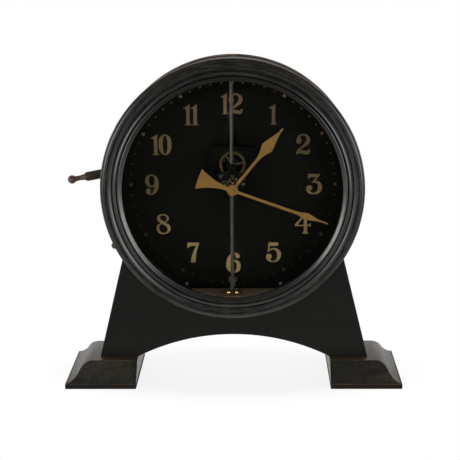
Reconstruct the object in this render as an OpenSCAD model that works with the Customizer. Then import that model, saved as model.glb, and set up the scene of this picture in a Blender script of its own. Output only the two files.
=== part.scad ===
// Gravity rack clock: a movement that falls along a toothed rack inside a round glazed drum.
// Front faces -Y, up is +Z, and the origin lies under the middle of the four-square feet.

/* [Drum] */
// Height of the dial centre above the table
centre_h = 184.2; // [178:0.1:192]
// Outer radius of the wooden drum
drum_r = 118.4; // [116:0.1:119]
// Inner radius of the drum in front of the dial
drum_bore_r = 110; // [109:0.1:111]
// Inner radius of the drum behind the dial
drum_back_bore_r = 104; // [102:0.1:105]
// Front edge of the drum, measured forward of the centre plane
drum_front = 18.3; // [17.8:0.1:19]
// Back edge of the drum, measured behind the centre plane
drum_back = 38; // [36:0.1:42]
// Radius of the half-round bead behind the drum
rear_bead_r = 2.2; // [1.5:0.1:2.6]
// Height of the flat floor inside the drum, above the table
floor_h = 82; // [79:0.1:83]

/* [Bezel] */
// Radius of the round opening in front of the glass
sight_r = 101.6; // [100:0.1:102]
// Outer radius of the moulded bezel
bezel_r = 122.3; // [121.5:0.1:125]
// Radial width of the sight ring that holds the glass
sight_ring_w = 4.8; // [4.2:0.1:5.4]
// Thickness of the bezel's flat back ring
bezel_t = 5.5; // [4.5:0.1:6]
// Thickness of the glass
glass_t = 2; // [1.5:0.1:2.4]
// Gap between the closed bezel and the drum
door_gap = 0.4; // [0.3:0.05:0.6]

/* [Base] */
// Overall width across the feet
feet_span = 316; // [306:1:330]
// Overall depth of the feet
feet_depth = 96; // [90:1:110]
// Width of one foot
foot_w = 66.7; // [60:0.1:70]
// Height of the thin plinth under each foot
plinth_h = 4.7; // [3.5:0.1:6]
// Height of the foot block above the plinth
foot_block_h = 17.2; // [17.2:0.1:19]
// How far each sloping end of the foot leans in at the top
foot_rake = 19; // [14:0.5:22]
// Width of the carcass where it stands on the feet
carcass_w = 255; // [250:0.5:262]
// Inward lean of the carcass sides, degrees
carcass_lean = 13.8; // [12:0.1:15]
// Radius of the arch under the carcass
arch_r = 199; // [190:1:215]
// Height of the crown of the arch above the table
arch_crown_h = 44.1; // [42:0.1:48]
// Thickness of the carcass boards
board_t = 6; // [4:0.1:7]
// Back face of the carcass, measured behind the centre plane
carcass_back = 22; // [16:0.5:27]

/* [Dial] */
// Front face of the dial, measured behind the centre plane
dial_y = 8.3; // [8:0.1:10]
// Thickness of the dial plate
dial_t = 1.5; // [1.2:0.1:2]
// Width of the slot behind the rack for the lever's pin
dial_slot_w = 8.8; // [8.2:0.1:11]

/* [Rack] */
// Width of the rack's plain body
rack_w = 2; // [1.8:0.1:2.2]
// Middle of the rack's plain body, to the right of the dial's centre
rack_x = -1.1; // [-1.2:0.05:-1]
// Thickness of the rack from front to back
rack_t = 3; // [2.6:0.1:3.2]
// Front face of the rack, measured forward of the centre plane
rack_front = 12.5; // [12.4:0.05:12.7]
// Module of the rack teeth
rack_module = 0.6; // [0.55:0.01:0.64]
// Clear height between the rack's foot and the T-shaped stop
stop_gap = 4.6; // [1:0.1:20]

/* [Lever] */
// Distance of the lever's pivot to the left of the rack
lever_pivot_x = 80; // [76:0.5:84]
// Height of the lever's pivot above the dial centre
lever_pivot_h = 18.1; // [17:0.1:19]
// Slope of the lever, rising inward, degrees
lever_slope = 10.8; // [10.2:0.1:11.4]
// Distance from the pivot to the middle of the ball end
lever_reach = 74.8; // [72:0.1:80]
// Radius of the ball end
ball_r = 3.8; // [3:0.1:4.4]
// Middle plane of the lever, measured behind the centre plane
lever_y = 15; // [14.8:0.1:15.4]

/* [Movement] */
// Width of the movement plates
plate_w = 42; // [41.5:0.5:50]
// Clearance between the balance and the upper rack guide
guide_clear = 0.4; // [0.3:0.1:3]
// Thickness of each movement plate
plate_t = 1.6; // [1.2:0.1:1.8]
// Clear room between the two plates
plate_gap = 6.4; // [6.2:0.1:6.6]
// Outer radius of the balance wheel
balance_r = 12.1; // [10.5:0.1:12.3]
// Height of the balance above the dial centre
balance_h = 22.3; // [22:0.1:22.8]
// Running clearance of arbors in their holes
run_fit = 0.05; // [0.03:0.01:0.08]
// Turns of the hairspring
spring_turns = 5; // [4:0.5:6]

/* [Hands] */
// Length of the minute hand from its centre
minute_hand_l = 94.3; // [88:0.1:94.5]
// Length of the hour hand from its centre
hour_hand_l = 74; // [70:0.1:78]
// Length of the minute hand's flared tail
tail_l = 33; // [26:0.5:36]
// Radius of the round boss of both hands
hand_boss_r = 5; // [4.5:0.1:6]
// Thickness of the hands
hand_t = 0.8; // [0.6:0.1:0.9]
// Minutes shown on the dial
minutes = 18.3; // [0:0.1:59]
// Hours shown on the dial
hours = 1; // [0:1:11]

/* [Hidden] */
$fn = 96;
eps = 0.01;
seat = 0.1;

// Directions and places are [x, z] pairs in the plane of the dial, seen from the front.
hub = [0, centre_h];
function polar(a, r) = [r * cos(a), r * sin(a)];
function bearing(p, q) = atan2(q[1] - p[1], q[0] - p[0]);
// Meeting point of two circles, on the left of the line from p to q
function meet(p, rp, q, rq) =
    let (d = norm(q - p), a = (rp * rp - rq * rq + d * d) / (2 * d),
         h = sqrt(rp * rp - a * a), u = (q - p) / d)
    p + a * u + h * [-u[1], u[0]];

// A shape drawn as seen from the front, standing between two depths
module slab(front, back) {
    translate([0, back, 0]) rotate([90, 0, 0]) linear_extrude(back - front) children();
}
// A disc or bore about an axis that runs from front to back
module round_bar(p, r, front, back) {
    translate([p[0], back, p[1]]) rotate([90, 0, 0]) cylinder(r = r, h = back - front);
}
// A profile of radius and forward height, turned about the dial's axis
module turned(y = 0) {
    translate([0, y, centre_h]) rotate([90, 0, 0]) rotate_extrude() children();
}
module turned_ring(r0, r1, front, back) {
    turned() translate([r0, -back]) square([r1 - r0, back - front]);
}
module bead(r, y, bead_r) {
    turned() translate([r, -y]) circle(r = bead_r, $fn = 48);
}
module slotted_screw(p, head_r, head_h, shank_r, front, back) {
    difference() {
        union() {
            round_bar(p, head_r, front, front + head_h);
            round_bar(p, shank_r, front + head_h - eps, back);
        }
        translate([p[0] - head_r, front - 1, p[1] - head_r / 8])
            cube([2 * head_r, 1 + head_h / 2, head_r / 4]);
    }
}

// Teeth of straight-sided form: root and tip half-widths are shares of the pitch
module toothed(n, m, add, ded, root, tip) {
    r = m * n / 2;
    a = 360 / n;
    polygon([for (i = [0:n - 1]) each [
        polar((i - root) * a, r - ded * m), polar((i - tip) * a, r + add * m),
        polar((i + tip) * a, r + add * m), polar((i + root) * a, r - ded * m)]]);
}
module wheel_teeth(n, m) toothed(n, m, 1.1, 1.25, 0.3, 0.12);
module pinion_teeth(n, m) toothed(n, m, 0.55, 1.45, 0.2, 0.15);
module even_teeth(n, m) toothed(n, m, 0.85, 1.15, 0.3, 0.13);
// Openings between the arms of a crossed-out wheel
module crossings(rim_r, hub_r, arms, arm_w) {
    difference() {
        circle(r = rim_r);
        circle(r = hub_r);
        for (i = [0:arms - 1]) rotate(i * 360 / arms) translate([0, -arm_w / 2]) square([rim_r, arm_w]);
    }
}

// Feet
foot_h = plinth_h + foot_block_h;
foot_in = feet_span / 2 - foot_w;
ogee_run = 23.7;
ogee_top_r = 12.3;
ogee_low_r = 19.1;
ogee_meet = [12.6, 10.5];
ogee_toe = 0.7;
quirk = 1;
module ogee_outline() {
    top = [ogee_run, foot_block_h - ogee_top_r];
    difference() {
        translate([ogee_meet[0], 0]) square([foot_w - ogee_meet[0], foot_block_h]);
        difference() {
            translate([0, top[1]]) square([ogee_run, foot_block_h]);
            translate(top) circle(r = ogee_top_r);
        }
    }
    difference() {
        polygon([[ogee_toe, 0], [ogee_meet[0] + eps, 0], ogee_meet + [eps, 0]]);
        translate([-4.85, 18.28]) circle(r = ogee_low_r);
    }
}
module foot() {
    y0 = feet_depth / 2;
    y1 = y0 - foot_rake - quirk;
    translate([foot_in, -y0, 0]) cube([foot_w, feet_depth, plinth_h]);
    intersection() {
        slab(-y0, y0) translate([feet_span / 2, plinth_h - eps]) mirror([1, 0]) ogee_outline();
        translate([foot_in - 1, 0, 0]) rotate([90, 0, 90]) linear_extrude(foot_w + 2)
            polygon([[-y0 + quirk, 0], [y0 - quirk, 0], [y0 - quirk, plinth_h], [y1, foot_h + 1],
                [-y1, foot_h + 1], [-y0 + quirk, plinth_h]]);
    }
}
module foot_right() color("#2a2420") foot();
module foot_left() color("#2a2420") mirror([1, 0, 0]) foot();

// Carcass
carcass_top_h = centre_h - drum_r / 2;
lean_run = (carcass_top_h - foot_h) * tan(carcass_lean);
saddle_r = drum_r + seat;
arch_z = arch_crown_h - arch_r;
module saddle_and_arch() {
    translate(hub) circle(r = saddle_r, $fn = 180);
    translate([0, arch_z]) circle(r = arch_r, $fn = 180);
}
module carcass_outline() {
    w = carcass_w / 2;
    polygon([[-w, foot_h], [w, foot_h], [w - lean_run, carcass_top_h], [lean_run - w, carcass_top_h]]);
}
module carcass_panel() difference() { carcass_outline(); saddle_and_arch(); }
module base_front_panel() color("#231f1d") slab(-drum_front, board_t - drum_front) carcass_panel();
module base_back_panel() color("#231f1d") slab(carcass_back - board_t, carcass_back) carcass_panel();
module carcass_side() {
    w = carcass_w / 2;
    slab(board_t - drum_front, carcass_back - board_t) difference() {
        polygon([[w - board_t, foot_h], [w, foot_h], [w - lean_run, carcass_top_h],
            [w - lean_run - board_t, carcass_top_h]]);
        saddle_and_arch();
    }
}
module base_side_right() color("#2b2623") carcass_side();
module base_side_left() color("#2b2623") mirror([1, 0, 0]) carcass_side();
module base_soffit() color("#3a2d24") {
    slab(board_t - drum_front, carcass_back - board_t) intersection() {
        translate([-foot_in - board_t, foot_h]) square([2 * (foot_in + board_t), arch_crown_h]);
        difference() {
            translate([0, arch_z]) circle(r = arch_r + board_t, $fn = 180);
            translate([0, arch_z]) circle(r = arch_r, $fn = 180);
        }
    }
}

// Drum
cover_t = 4.4;
cover_r = drum_back_bore_r + 7.8;
dial_back = dial_y + dial_t;
dial_r = drum_bore_r - 0.3;
pivot = hub + [-lever_pivot_x, lever_pivot_h];
lever_slot_w = 6.4;
lever_slot_h = 17.2;
slot_out = pivot - (drum_r - lever_pivot_x) * [1, tan(lever_slope)];
module drum_shell() color("#2d2825") {
    difference() {
        union() {
            turned_ring(drum_back_bore_r, drum_r, dial_back, drum_back);
            turned_ring(drum_bore_r, drum_r, -drum_front, dial_back);
            bead(drum_r, drum_back - 4, rear_bead_r);
        }
        turned_ring(0, cover_r + 0.2, drum_back - cover_t - 0.2, drum_back + 1);
        translate([-drum_r - 5, lever_y - lever_slot_w / 2, slot_out[1] - lever_slot_h / 2])
            cube([25, lever_slot_w, lever_slot_h]);
        translate([leaf_x - eps, hinge_y - 1.6, centre_h - leaf_h / 2 - 0.1])
            cube([10, leaf_w + 1.7, leaf_h + 0.2]);
        for (p = cover_screws) round_bar(p, screw_hole_r, drum_back - cover_t - screw_bite - seat, drum_back);
        top_screw_holes();
        for (p = dial_screw_places) round_bar(p, screw_hole_r, dial_y, dial_back + screw_bite + seat);
    }
}
module floor_block() color("#4b443d") {
    intersection() {
        turned_ring(0, drum_bore_r - seat, 0.1 - drum_front, dial_y - seat);
        difference() {
            translate([-drum_r, -drum_front, 0]) cube([2 * drum_r, 2 * drum_front, floor_h]);
            foot_screw_holes();
        }
    }
}

// Wood screws
screw_r = 0.8;
screw_hole_r = screw_r + run_fit;
screw_bite = 5;
dial_head_r = 1.6;
dial_head_h = 0.9;
cover_head_r = 2.4;
cover_head_h = 1.2;

// Dial
dial_screw_r = drum_bore_r - 2.8;
dial_screw_places = [for (a = [-65.1, -114.9, 65.1, 114.9]) hub + polar(a, dial_screw_r)];
lift_h = lever_pivot_h + lever_pivot_x * tan(lever_slope);
lift_up = 11;
lift_down = 6;
module dial_plate() color("#1c1b1a") {
    difference() {
        turned_ring(0, dial_r, dial_y, dial_back);
        upright_slot(hub + [0, lift_h - lift_down - 2], lift_up + lift_down + 4, dial_slot_w,
            dial_y - 1, dial_back + 1);
        for (p = dial_screw_places) round_bar(p, screw_hole_r, dial_y - 1, dial_back + 1);
    }
}
// An upright slot with round ends, from its lowest centre upwards
module upright_slot(p, rise, w, front, back) {
    round_bar(p, w / 2, front, back);
    round_bar(p + [0, rise], w / 2, front, back);
    slab(front, back) translate(p - [w / 2, 0]) square([w, rise]);
}
module dial_screws() color("#b9b3a6") {
    for (p = dial_screw_places)
        slotted_screw(p, dial_head_r, dial_head_h, screw_r, dial_y - dial_head_h, dial_back + screw_bite);
}

// Back cover
cover_screws = [for (a = [45:90:315]) hub + polar(a, cover_r - 4)];
module back_cover() color("#2f2925") {
    difference() {
        turned_ring(0, cover_r, drum_back - cover_t, drum_back);
        for (p = cover_screws) round_bar(p, screw_hole_r, 0, drum_back + 1);
    }
}
module back_cover_screws() color("#b8a264") {
    for (p = cover_screws) translate([2 * p[0], 2 * drum_back, 0]) rotate(180)
        slotted_screw(p, cover_head_r, cover_head_h, screw_r, drum_back - cover_head_h,
            drum_back + cover_t + screw_bite);
}

// Glazed bezel
bezel_back = -drum_front - door_gap;
bezel_front = bezel_back - bezel_t;
sight_out = sight_r + sight_ring_w;
bezel_in = sight_out + 0.2;
glass_front = bezel_front - 1.7;
glass_back = glass_front + glass_t;
// Half-round beads of the bezel, from the glass outwards
inner_bead_r = 2.3;
crown_bead_r = 3.6;
outer_bead_r = 2.4;
inner_bead_rise = 2.8;
crown_r = (bezel_in + bezel_r) / 2;
bead_quirk = 0.3;
module bezel_ring() color("#26221f") {
    difference() {
        union() {
            turned_ring(bezel_in, bezel_r - outer_bead_r / 2, bezel_front, bezel_back);
            bead(bezel_in + inner_bead_r, bezel_front - inner_bead_rise, inner_bead_r);
            turned_ring(bezel_in + bead_quirk, crown_r - crown_bead_r - bead_quirk,
                bezel_front - inner_bead_rise, bezel_front + eps);
            bead(crown_r, bezel_front - 0.4, crown_bead_r);
            bead(bezel_r - outer_bead_r, bezel_front + 1, outer_bead_r);
        }
        translate([hinge_x - leaf_in - seat, bezel_back - leaf_t - seat, centre_h - leaf_h / 2 - seat])
            cube([2 * leaf_in, 2 * leaf_t, leaf_h + 2 * seat]);
    }
}
sight_rise = 2.2;
module sight_ring() color("#4a4640") {
    difference() {
        union() {
            bead(sight_r + sight_ring_w / 2, glass_front - sight_rise, sight_ring_w / 2);
            turned_ring(sight_r + 0.8, sight_out, glass_front - sight_rise, glass_front);
        }
        turned_ring(0, sight_out + 1, glass_front - seat, glass_back);
    }
}
module glass() color([0.8, 0.85, 0.86, 0.3]) turned_ring(0, sight_out - 0.4, glass_front, glass_back);
module glass_retainer() color("#7a6a45") {
    turned_ring(sight_out - 3, sight_out, glass_back + seat, glass_back + 0.9);
}
knob_a = 205.3;
knob_r = 2.85;
knob_stem = [1.2, 1.3];
module catch_knob() color("#7b5a3c") {
    translate([0, bezel_back - 1.5, centre_h]) rotate([0, 90 - knob_a, 0])
        translate([0, 0, bezel_r - 0.8]) rotate_extrude($fn = 32) {
            square(knob_stem + [0, eps]);
            translate([0, knob_stem[1]]) square([knob_r, 1]);
            translate([0, knob_stem[1] + 1 - eps]) intersection() {
                translate([0, -2]) circle(r = knob_r + 0.6);
                square([knob_r, 2]);
            }
        }
}

// Hinge of the bezel
hinge_x = bezel_r - 1.9;
hinge_y = bezel_back + 2.8;
knuckle_r = 1.6;
leaf_t = 0.7;
leaf_w = 9;
leaf_in = 6;
leaf_h = 24;
leaf_x = drum_r - 1.2;
knuckle_n = 5;
knuckle_gap = 0.15;
module knuckles(first) {
    step = leaf_h / knuckle_n;
    for (i = [first:2:knuckle_n - 1])
        translate([hinge_x, hinge_y, centre_h - leaf_h / 2 + i * step + knuckle_gap / 2]) difference() {
            union() {
                cylinder(r = knuckle_r, h = step - knuckle_gap, $fn = 48);
                children();
            }
            translate([0, 0, -1]) cylinder(r = pin_r + run_fit, h = step + 2, $fn = 48);
        }
}
pin_r = 0.7;
module hinge_door_leaf() color("#8c7440") {
    step = leaf_h / knuckle_n - knuckle_gap;
    knuckles(0) translate([-1, bezel_back - hinge_y - leaf_t, 0])
        cube([1.6, hinge_y - bezel_back + leaf_t - 0.8, step]);
    translate([hinge_x - leaf_in, bezel_back - leaf_t, centre_h - leaf_h / 2]) cube([leaf_in, leaf_t, leaf_h]);
}
module hinge_drum_leaf() color("#8c7440") {
    step = leaf_h / knuckle_n - knuckle_gap;
    knuckles(1) translate([leaf_x - hinge_x, -1, 0]) cube([hinge_x - leaf_x - 0.9, 1.6, step]);
    translate([leaf_x, hinge_y - 1.4, centre_h - leaf_h / 2]) cube([leaf_t, leaf_w + 1.4, leaf_h]);
}
module hinge_pin() color("#9a8350") {
    translate([hinge_x, hinge_y, centre_h - leaf_h / 2 - 0.6])
        cylinder(r = pin_r, h = leaf_h + 1.2, $fn = 48);
}

// Rack
rack_back = rack_t - rack_front;
rack_root = rack_w / 2;
rack_pitch_x = rack_root + 1.25 * rack_module;
rack_tip = rack_pitch_x + 0.95 * rack_module;
rack_pitch = PI * rack_module;
rack_top = centre_h + drum_bore_r - 0.4;
// Corners of one tooth: how far it stands out, and its share of the pitch
rack_tooth = [[rack_root, 0.81], [rack_tip, 0.62], [rack_tip, 0.38], [rack_root, 0.19]];
module rack() color("#9c9a94") {
    low = floor_h + seat;
    body = [[rack_root, low], [-rack_root, low], [-rack_root, rack_top], [rack_root, rack_top]];
    teeth = [for (i = [tooth_to:-1:tooth_from], t = rack_tooth)
        [t[0], pinion_place[1] + (i + t[1]) * rack_pitch]];
    slab(-rack_front, rack_back) translate([rack_x, 0]) polygon(concat(body, teeth));
}
// Middle of the rack and its teeth together
rack_mid_x = rack_x + (rack_tip - rack_root) / 2;
rack_mid_y = -rack_front + rack_t / 2;
block_grip = 3.5;
foot_lip = 1.5;
foot_block_w = 17;
rack_foot_t = 2.8;
rack_grip = 4;
dome_r = 2.2;
foot_screw_off = 3.9;
foot_screw_y = -rack_front - dome_r - 0.5;
top_screw_off = 4.6;
module rack_hole() {
    translate([rack_x - rack_root - run_fit, -rack_front - run_fit, 0])
        cube([rack_tip + rack_root + 2 * run_fit, rack_t + 2 * run_fit, 2 * centre_h]);
}
module screw_pair(off, y, z) {
    for (x = [-off, off]) translate([rack_mid_x + x, y, z]) children();
}
module foot_screw_holes() {
    screw_pair(foot_screw_off, foot_screw_y, floor_h - screw_bite)
        cylinder(r = screw_hole_r, h = 3 * screw_bite);
}
module top_screw_holes() {
    screw_pair(top_screw_off, rack_mid_y, rack_top - 2 * screw_bite)
        cylinder(r = screw_hole_r, h = 3 * screw_bite);
}
module rack_foot() color("#a8935a") {
    difference() {
        translate([rack_mid_x - foot_block_w / 2, -rack_front - block_grip - foot_lip, floor_h])
            cube([foot_block_w, rack_t + 2 * block_grip + foot_lip, rack_foot_t]);
        rack_hole();
        foot_screw_holes();
    }
}
module rack_top_block() color("#a8935a") {
    difference() {
        intersection() {
            translate([rack_mid_x - foot_block_w / 2, -rack_front - block_grip, rack_top - rack_grip])
                cube([foot_block_w, rack_t + 2 * block_grip, 2 * rack_grip]);
            turned_ring(0, drum_bore_r, -drum_front, dial_y);
        }
        rack_hole();
        top_screw_holes();
    }
}
module domed_screw() {
    cylinder(r = screw_r, h = screw_bite + eps, $fn = 32);
    translate([0, 0, screw_bite]) intersection() {
        sphere(r = dome_r, $fn = 32);
        cylinder(r = 2 * dome_r, h = dome_r);
    }
}
module rack_screws() color("#c9ad62") {
    screw_pair(foot_screw_off, foot_screw_y, floor_h + rack_foot_t - screw_bite) domed_screw();
    screw_pair(top_screw_off, rack_mid_y, rack_top - rack_grip + screw_bite) mirror([0, 0, 1]) domed_screw();
}
stop_w = 7.6;
stop_head_h = 3.7;
stop_stem_w = 4.4;
stop_stem_h = 5.5;
stop_wall = 1.2;
stem_low = floor_h + rack_foot_t + stop_gap;
module rack_stop() color("#6f6a60") {
    translate([rack_mid_x - stop_stem_w / 2, -rack_front - stop_wall, stem_low])
        cube([stop_stem_w, stop_wall - seat, stop_stem_h + eps]);
    difference() {
        translate([rack_mid_x - stop_w / 2, -rack_front - stop_wall, stem_low + stop_stem_h])
            cube([stop_w, rack_t + 2 * stop_wall, stop_head_h]);
        rack_hole();
    }
}

// Lever
arm_t = 2.4;
arm_h = 5;
boss_r = 4.5;
lift_pin_r = 1;
tang = 6;
lift_place = hub + [0, lift_h];
handle_end = (drum_r + 3.4 - lever_pivot_x) / cos(lever_slope);
ferrule_l = 16.9;
module along_lever(s) {
    translate([pivot[0], lever_y, pivot[1]]) rotate([0, -lever_slope, 0]) translate([s, 0, 0]) children();
}
module lever_arm() color("#55504a") {
    difference() {
        union() {
            slab(lever_y - arm_t / 2, lever_y + arm_t / 2) translate(pivot) rotate(lever_slope)
                translate([-handle_end - tang, -arm_h / 2])
                    square([handle_end + tang + lever_pivot_x / cos(lever_slope), arm_h]);
            round_bar(pivot, boss_r, dial_back + 1.4, lever_y + 3);
            round_bar(lift_place, arm_h / 2, lever_y - arm_t / 2, lever_y + arm_t / 2);
            round_bar(lift_place, lift_pin_r, plate_back + 0.4, lever_y);
        }
        round_bar(pivot, pivot_r + run_fit, dial_y, drum_back);
    }
}
module lever_ferrule() color("#3c3229") {
    difference() {
        along_lever(-handle_end - ferrule_l) rotate([0, 90, 0]) rotate_extrude()
            polygon([[0, 0], [3.7, 0], [3.95, 0.5], [4.3, ferrule_l - 0.6], [4.1, ferrule_l], [0, ferrule_l]]);
        along_lever(-handle_end - tang - seat) translate([0, -arm_t / 2 - run_fit, -arm_h / 2 - run_fit])
            cube([3 * tang, arm_t + 2 * run_fit, arm_h + 2 * run_fit]);
    }
}
neck_r = 2.05;
flare_r = 3.6;
neck_at = 5.5;
handle_l = lever_reach - handle_end - ferrule_l;
module lever_handle() color("#6b4a32") {
    flare_l = handle_l - neck_at;
    along_lever(-lever_reach) rotate([0, 90, 0]) {
        sphere(r = ball_r, $fn = 64);
        rotate_extrude() polygon(concat([[0, 0], [neck_r + 0.9, 2.2], [neck_r + 0.15, 4], [neck_r, neck_at]],
            [for (i = [1:8]) [neck_r + (flare_r - neck_r) * pow(i / 8, 2.2), neck_at + flare_l * i / 8]],
            [[0, handle_l]]));
    }
}
pivot_r = 1.8;
module lever_pivot() color("#8f8a80") {
    round_bar(pivot, 6, dial_back, dial_back + 1.2);
    round_bar(pivot, pivot_r, dial_back + 1, lever_y + 4.6);
}
module lever_collar() color("#a08b52") {
    difference() {
        round_bar(pivot, 3.4, lever_y + 3.2, lever_y + 4.6);
        round_bar(pivot, pivot_r, dial_y, drum_back);
    }
}

// Movement plates: depths of the two plates and of the parts in front of them
plate_front = -4;
bay = plate_front + plate_t;
guide_t = 3;
bay_back = bay + plate_gap;
plate_back = bay_back + plate_t;
plate_low = -11.2;
plate_h = balance_h + balance_r + guide_clear + guide_t - plate_low;
bridge_t = 1.6;
bridge_back = -rack_front - 1.1;
bridge_front = bridge_back - bridge_t;
cock_front = rack_back + 0.2;
cock_t = 0.9;
balance_front = cock_front + cock_t + 0.4;
balance_t = 1.6;
spring_front = balance_front + balance_t + 0.6;

// Train: teeth and modules, from the rack to the escape wheel
rack_leaves = 10;
great_n = 72;
great_m = 0.3;
great_arms = 5;
inter_leaves = 8;
inter_n = 60;
inter_m = 0.26;
centre_leaves = 16;
centre_n = 64;
centre_m = 0.26;
third_leaves = 8;
third_n = 60;
third_m = 0.22;
fourth_leaves = 8;
fourth_n = 80;
fourth_m = 0.17;
escape_leaves = 8;
escape_n = 15;
escape_r = 4.2;

// Places of the arbors
rack_pinion_r = rack_module * rack_leaves / 2;
pinion_place = hub + [rack_x + rack_pitch_x + rack_pinion_r + 0.05, 9.8];
centre_place = hub + [-6.9, 4.4];
balance_place = hub + [0, balance_h];
inter_place = meet(pinion_place, great_m * (great_n + inter_leaves) / 2,
    centre_place, inter_m * (inter_n + centre_leaves) / 2);
third_place = centre_place + polar(130.8, centre_m * (centre_n + third_leaves) / 2);
fourth_place = third_place + polar(62, third_m * (third_n + fourth_leaves) / 2);
escape_place = fourth_place + polar(75.4, fourth_m * (fourth_n + escape_leaves) / 2);
pallet_gap = 5;
fork_gap = 5.4;
pallet_place = meet(escape_place, pallet_gap, balance_place, fork_gap);
// Rack teeth are counted from the gap that the pinion's leaf fills
tooth_from = -floor((pinion_place[1] - floor_h - 8) / rack_pitch);
tooth_to = floor((rack_top - pinion_place[1] - 6) / rack_pitch);
minute_stud = hub + [0.2, 6.25];
arbor_r = 0.35;
stout_r = 0.6;
pinion_arbor_r = 0.8;
foot_left_place = hub + [-10.9, 12.3];
foot_right_place = hub + [9.8, 4.9];
keeper_place = hub + [0.2, 12.3];
bridge_foot_r = 2.2;

module plate_outline() {
    r = 3;
    translate(hub + [-plate_w / 2, plate_low]) {
        translate([r, 0]) square([plate_w - 2 * r, plate_h]);
        translate([0, r]) square([plate_w, plate_h - 2 * r]);
        for (x = [r, plate_w - r], z = [r, plate_h - r]) translate([x, z]) circle(r = r);
    }
}
train_places = [inter_place, third_place, fourth_place, escape_place, pallet_place];
module front_plate() color("#1f1f20") {
    difference() {
        slab(plate_front, bay) plate_outline();
        for (p = train_places) round_bar(p, arbor_r + run_fit, plate_front - 1, bay + 1);
        round_bar(centre_place, stout_r + run_fit, plate_front - 1, bay + 1);
        round_bar(pinion_place, pinion_arbor_r + run_fit, plate_front - 1, bay + 1);
        round_bar(balance_place, 1.2, plate_front - 1, bay + 1);
    }
    round_bar(balance_place + polar(spring_end_a, spring_r + 0.65), 0.5, spring_front, plate_front + eps);
}
module back_plate() color("#1f1f20") {
    difference() {
        slab(bay_back, plate_back) plate_outline();
        for (p = train_places) round_bar(p, arbor_r + run_fit, bay, plate_back + 1);
        round_bar(balance_place, arbor_r + run_fit, bay, plate_back + 1);
        round_bar(centre_place, stout_r + run_fit, bay, plate_back + 1);
        round_bar(pinion_place, pinion_arbor_r + run_fit, bay, plate_back + 1);
    }
}
pillar_r = 1.8;
module pillars() color("#3b3a38") {
    for (x = [-1, 1], z = [plate_low + 3, plate_low + plate_h - 3])
        round_bar(hub + [x * (plate_w / 2 - 3.5), z], pillar_r, bay, bay_back);
}
guide_w = 7.2;
module rack_guides() color("#2c2c2c") {
    for (z = [[0.8, 4], [plate_h - guide_t, guide_t]]) difference() {
        translate([-guide_w / 2, -rack_front + 0.2, centre_h + plate_low + z[0]])
            cube([guide_w, rack_front + plate_front - 0.2, z[1]]);
        translate([rack_x - rack_root - run_fit, -rack_front - 1, 0])
            cube([rack_root + rack_tip + 2 * run_fit, rack_t + 1 + run_fit, 2 * centre_h]);
    }
}
keeper_w = 5.6;
module rack_keeper() color("#8a7442") {
    translate([rack_mid_x - keeper_w / 2, bridge_back, keeper_place[1] - 3.4]) cube([keeper_w, 1.05, 6.4]);
}
bridge_top = balance_h - 0.9;
bridge_low = -4.6;
module bridge_outline() {
    left = foot_left_place - hub;
    right = foot_right_place - hub;
    r = bridge_foot_r + 0.3;
    translate(hub) {
        polygon([[-r, bridge_top], [r, bridge_top], [right[0] - r - 2, right[1] + 4 * r], right + [r, r + 0.9],
            right + [r, -r], [-bridge_low + 1, bridge_low], [bridge_low - 1, bridge_low], [left[0], 1.8],
            left + [-r, -r - 0.8], left + [-r, r - 0.8], [left[0] / 2, left[1] + 3.9]]);
        translate([0, bridge_top]) circle(r = r);
    }
}
module front_bridge() color("#343536") {
    difference() {
        slab(bridge_front, bridge_back) bridge_outline();
        round_bar(centre_place, stout_r + run_fit, bridge_front - 1, bridge_back + 1);
        round_bar(pinion_place, stout_r + run_fit, bridge_front - 1, bridge_back + 1);
        for (p = [foot_left_place, foot_right_place, keeper_place])
            round_bar(p, 0.8, bridge_front - 1, bridge_back + 1);
    }
    for (p = [foot_left_place, foot_right_place]) difference() {
        round_bar(p, bridge_foot_r, bridge_back - eps, plate_front);
        round_bar(p, 0.8, bridge_front - 1, bridge_back + bridge_screw_l + 1);
    }
}
bridge_screw_l = 5;
module movement_screws() color("#c8c8c4") {
    for (p = [foot_left_place, foot_right_place])
        slotted_screw(p, 1.6, 1, 0.75, bridge_front - 1, bridge_back + bridge_screw_l);
    slotted_screw(keeper_place, 1.6, 1, 0.75, bridge_front - 1, bridge_back);
    round_bar(cock_screw_place, 0.65, cock_front + 0.6, plate_front);
}
module hand_studs() color("#b7b5ae") {
    round_bar(hub, hub_stud_r, bridge_front - 7.1, bridge_front);
    round_bar(minute_stud, 0.4, bridge_front - 3.2, bridge_front);
}
slot_room = 0.35;
module lift_bracket() color("#2a2a2b") {
    difference() {
        slab(plate_back, plate_back + 1.7) translate(lift_place - [8, 3.4]) square([16, 6.8]);
        slab(plate_back - 1, plate_back + 3) translate(lift_place - [5.2, lift_pin_r + slot_room])
            square([10.4, 2 * (lift_pin_r + slot_room)]);
    }
}

// Wheels of the train. Layers are depths behind the front plate's rear face.
// A wheel's tooth and a pinion's gap point at the mate that each meshes with.
module wheel(p, mate, n, m, layer, t, hub_r, arms) {
    slab(bay + layer, bay + layer + t) translate(p) rotate(bearing(p, mate)) difference() {
        wheel_teeth(n, m);
        crossings(m * n / 2 - 2.2 * m - 0.7, hub_r, arms, 0.9);
    }
}
module leaves(p, mate, n, m, layer, t) {
    slab(bay + layer, bay + layer + t) translate(p) rotate(bearing(p, mate) + 180 / n) pinion_teeth(n, m);
}
module train_arbor(p) round_bar(p, arbor_r, plate_front, plate_back);

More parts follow.
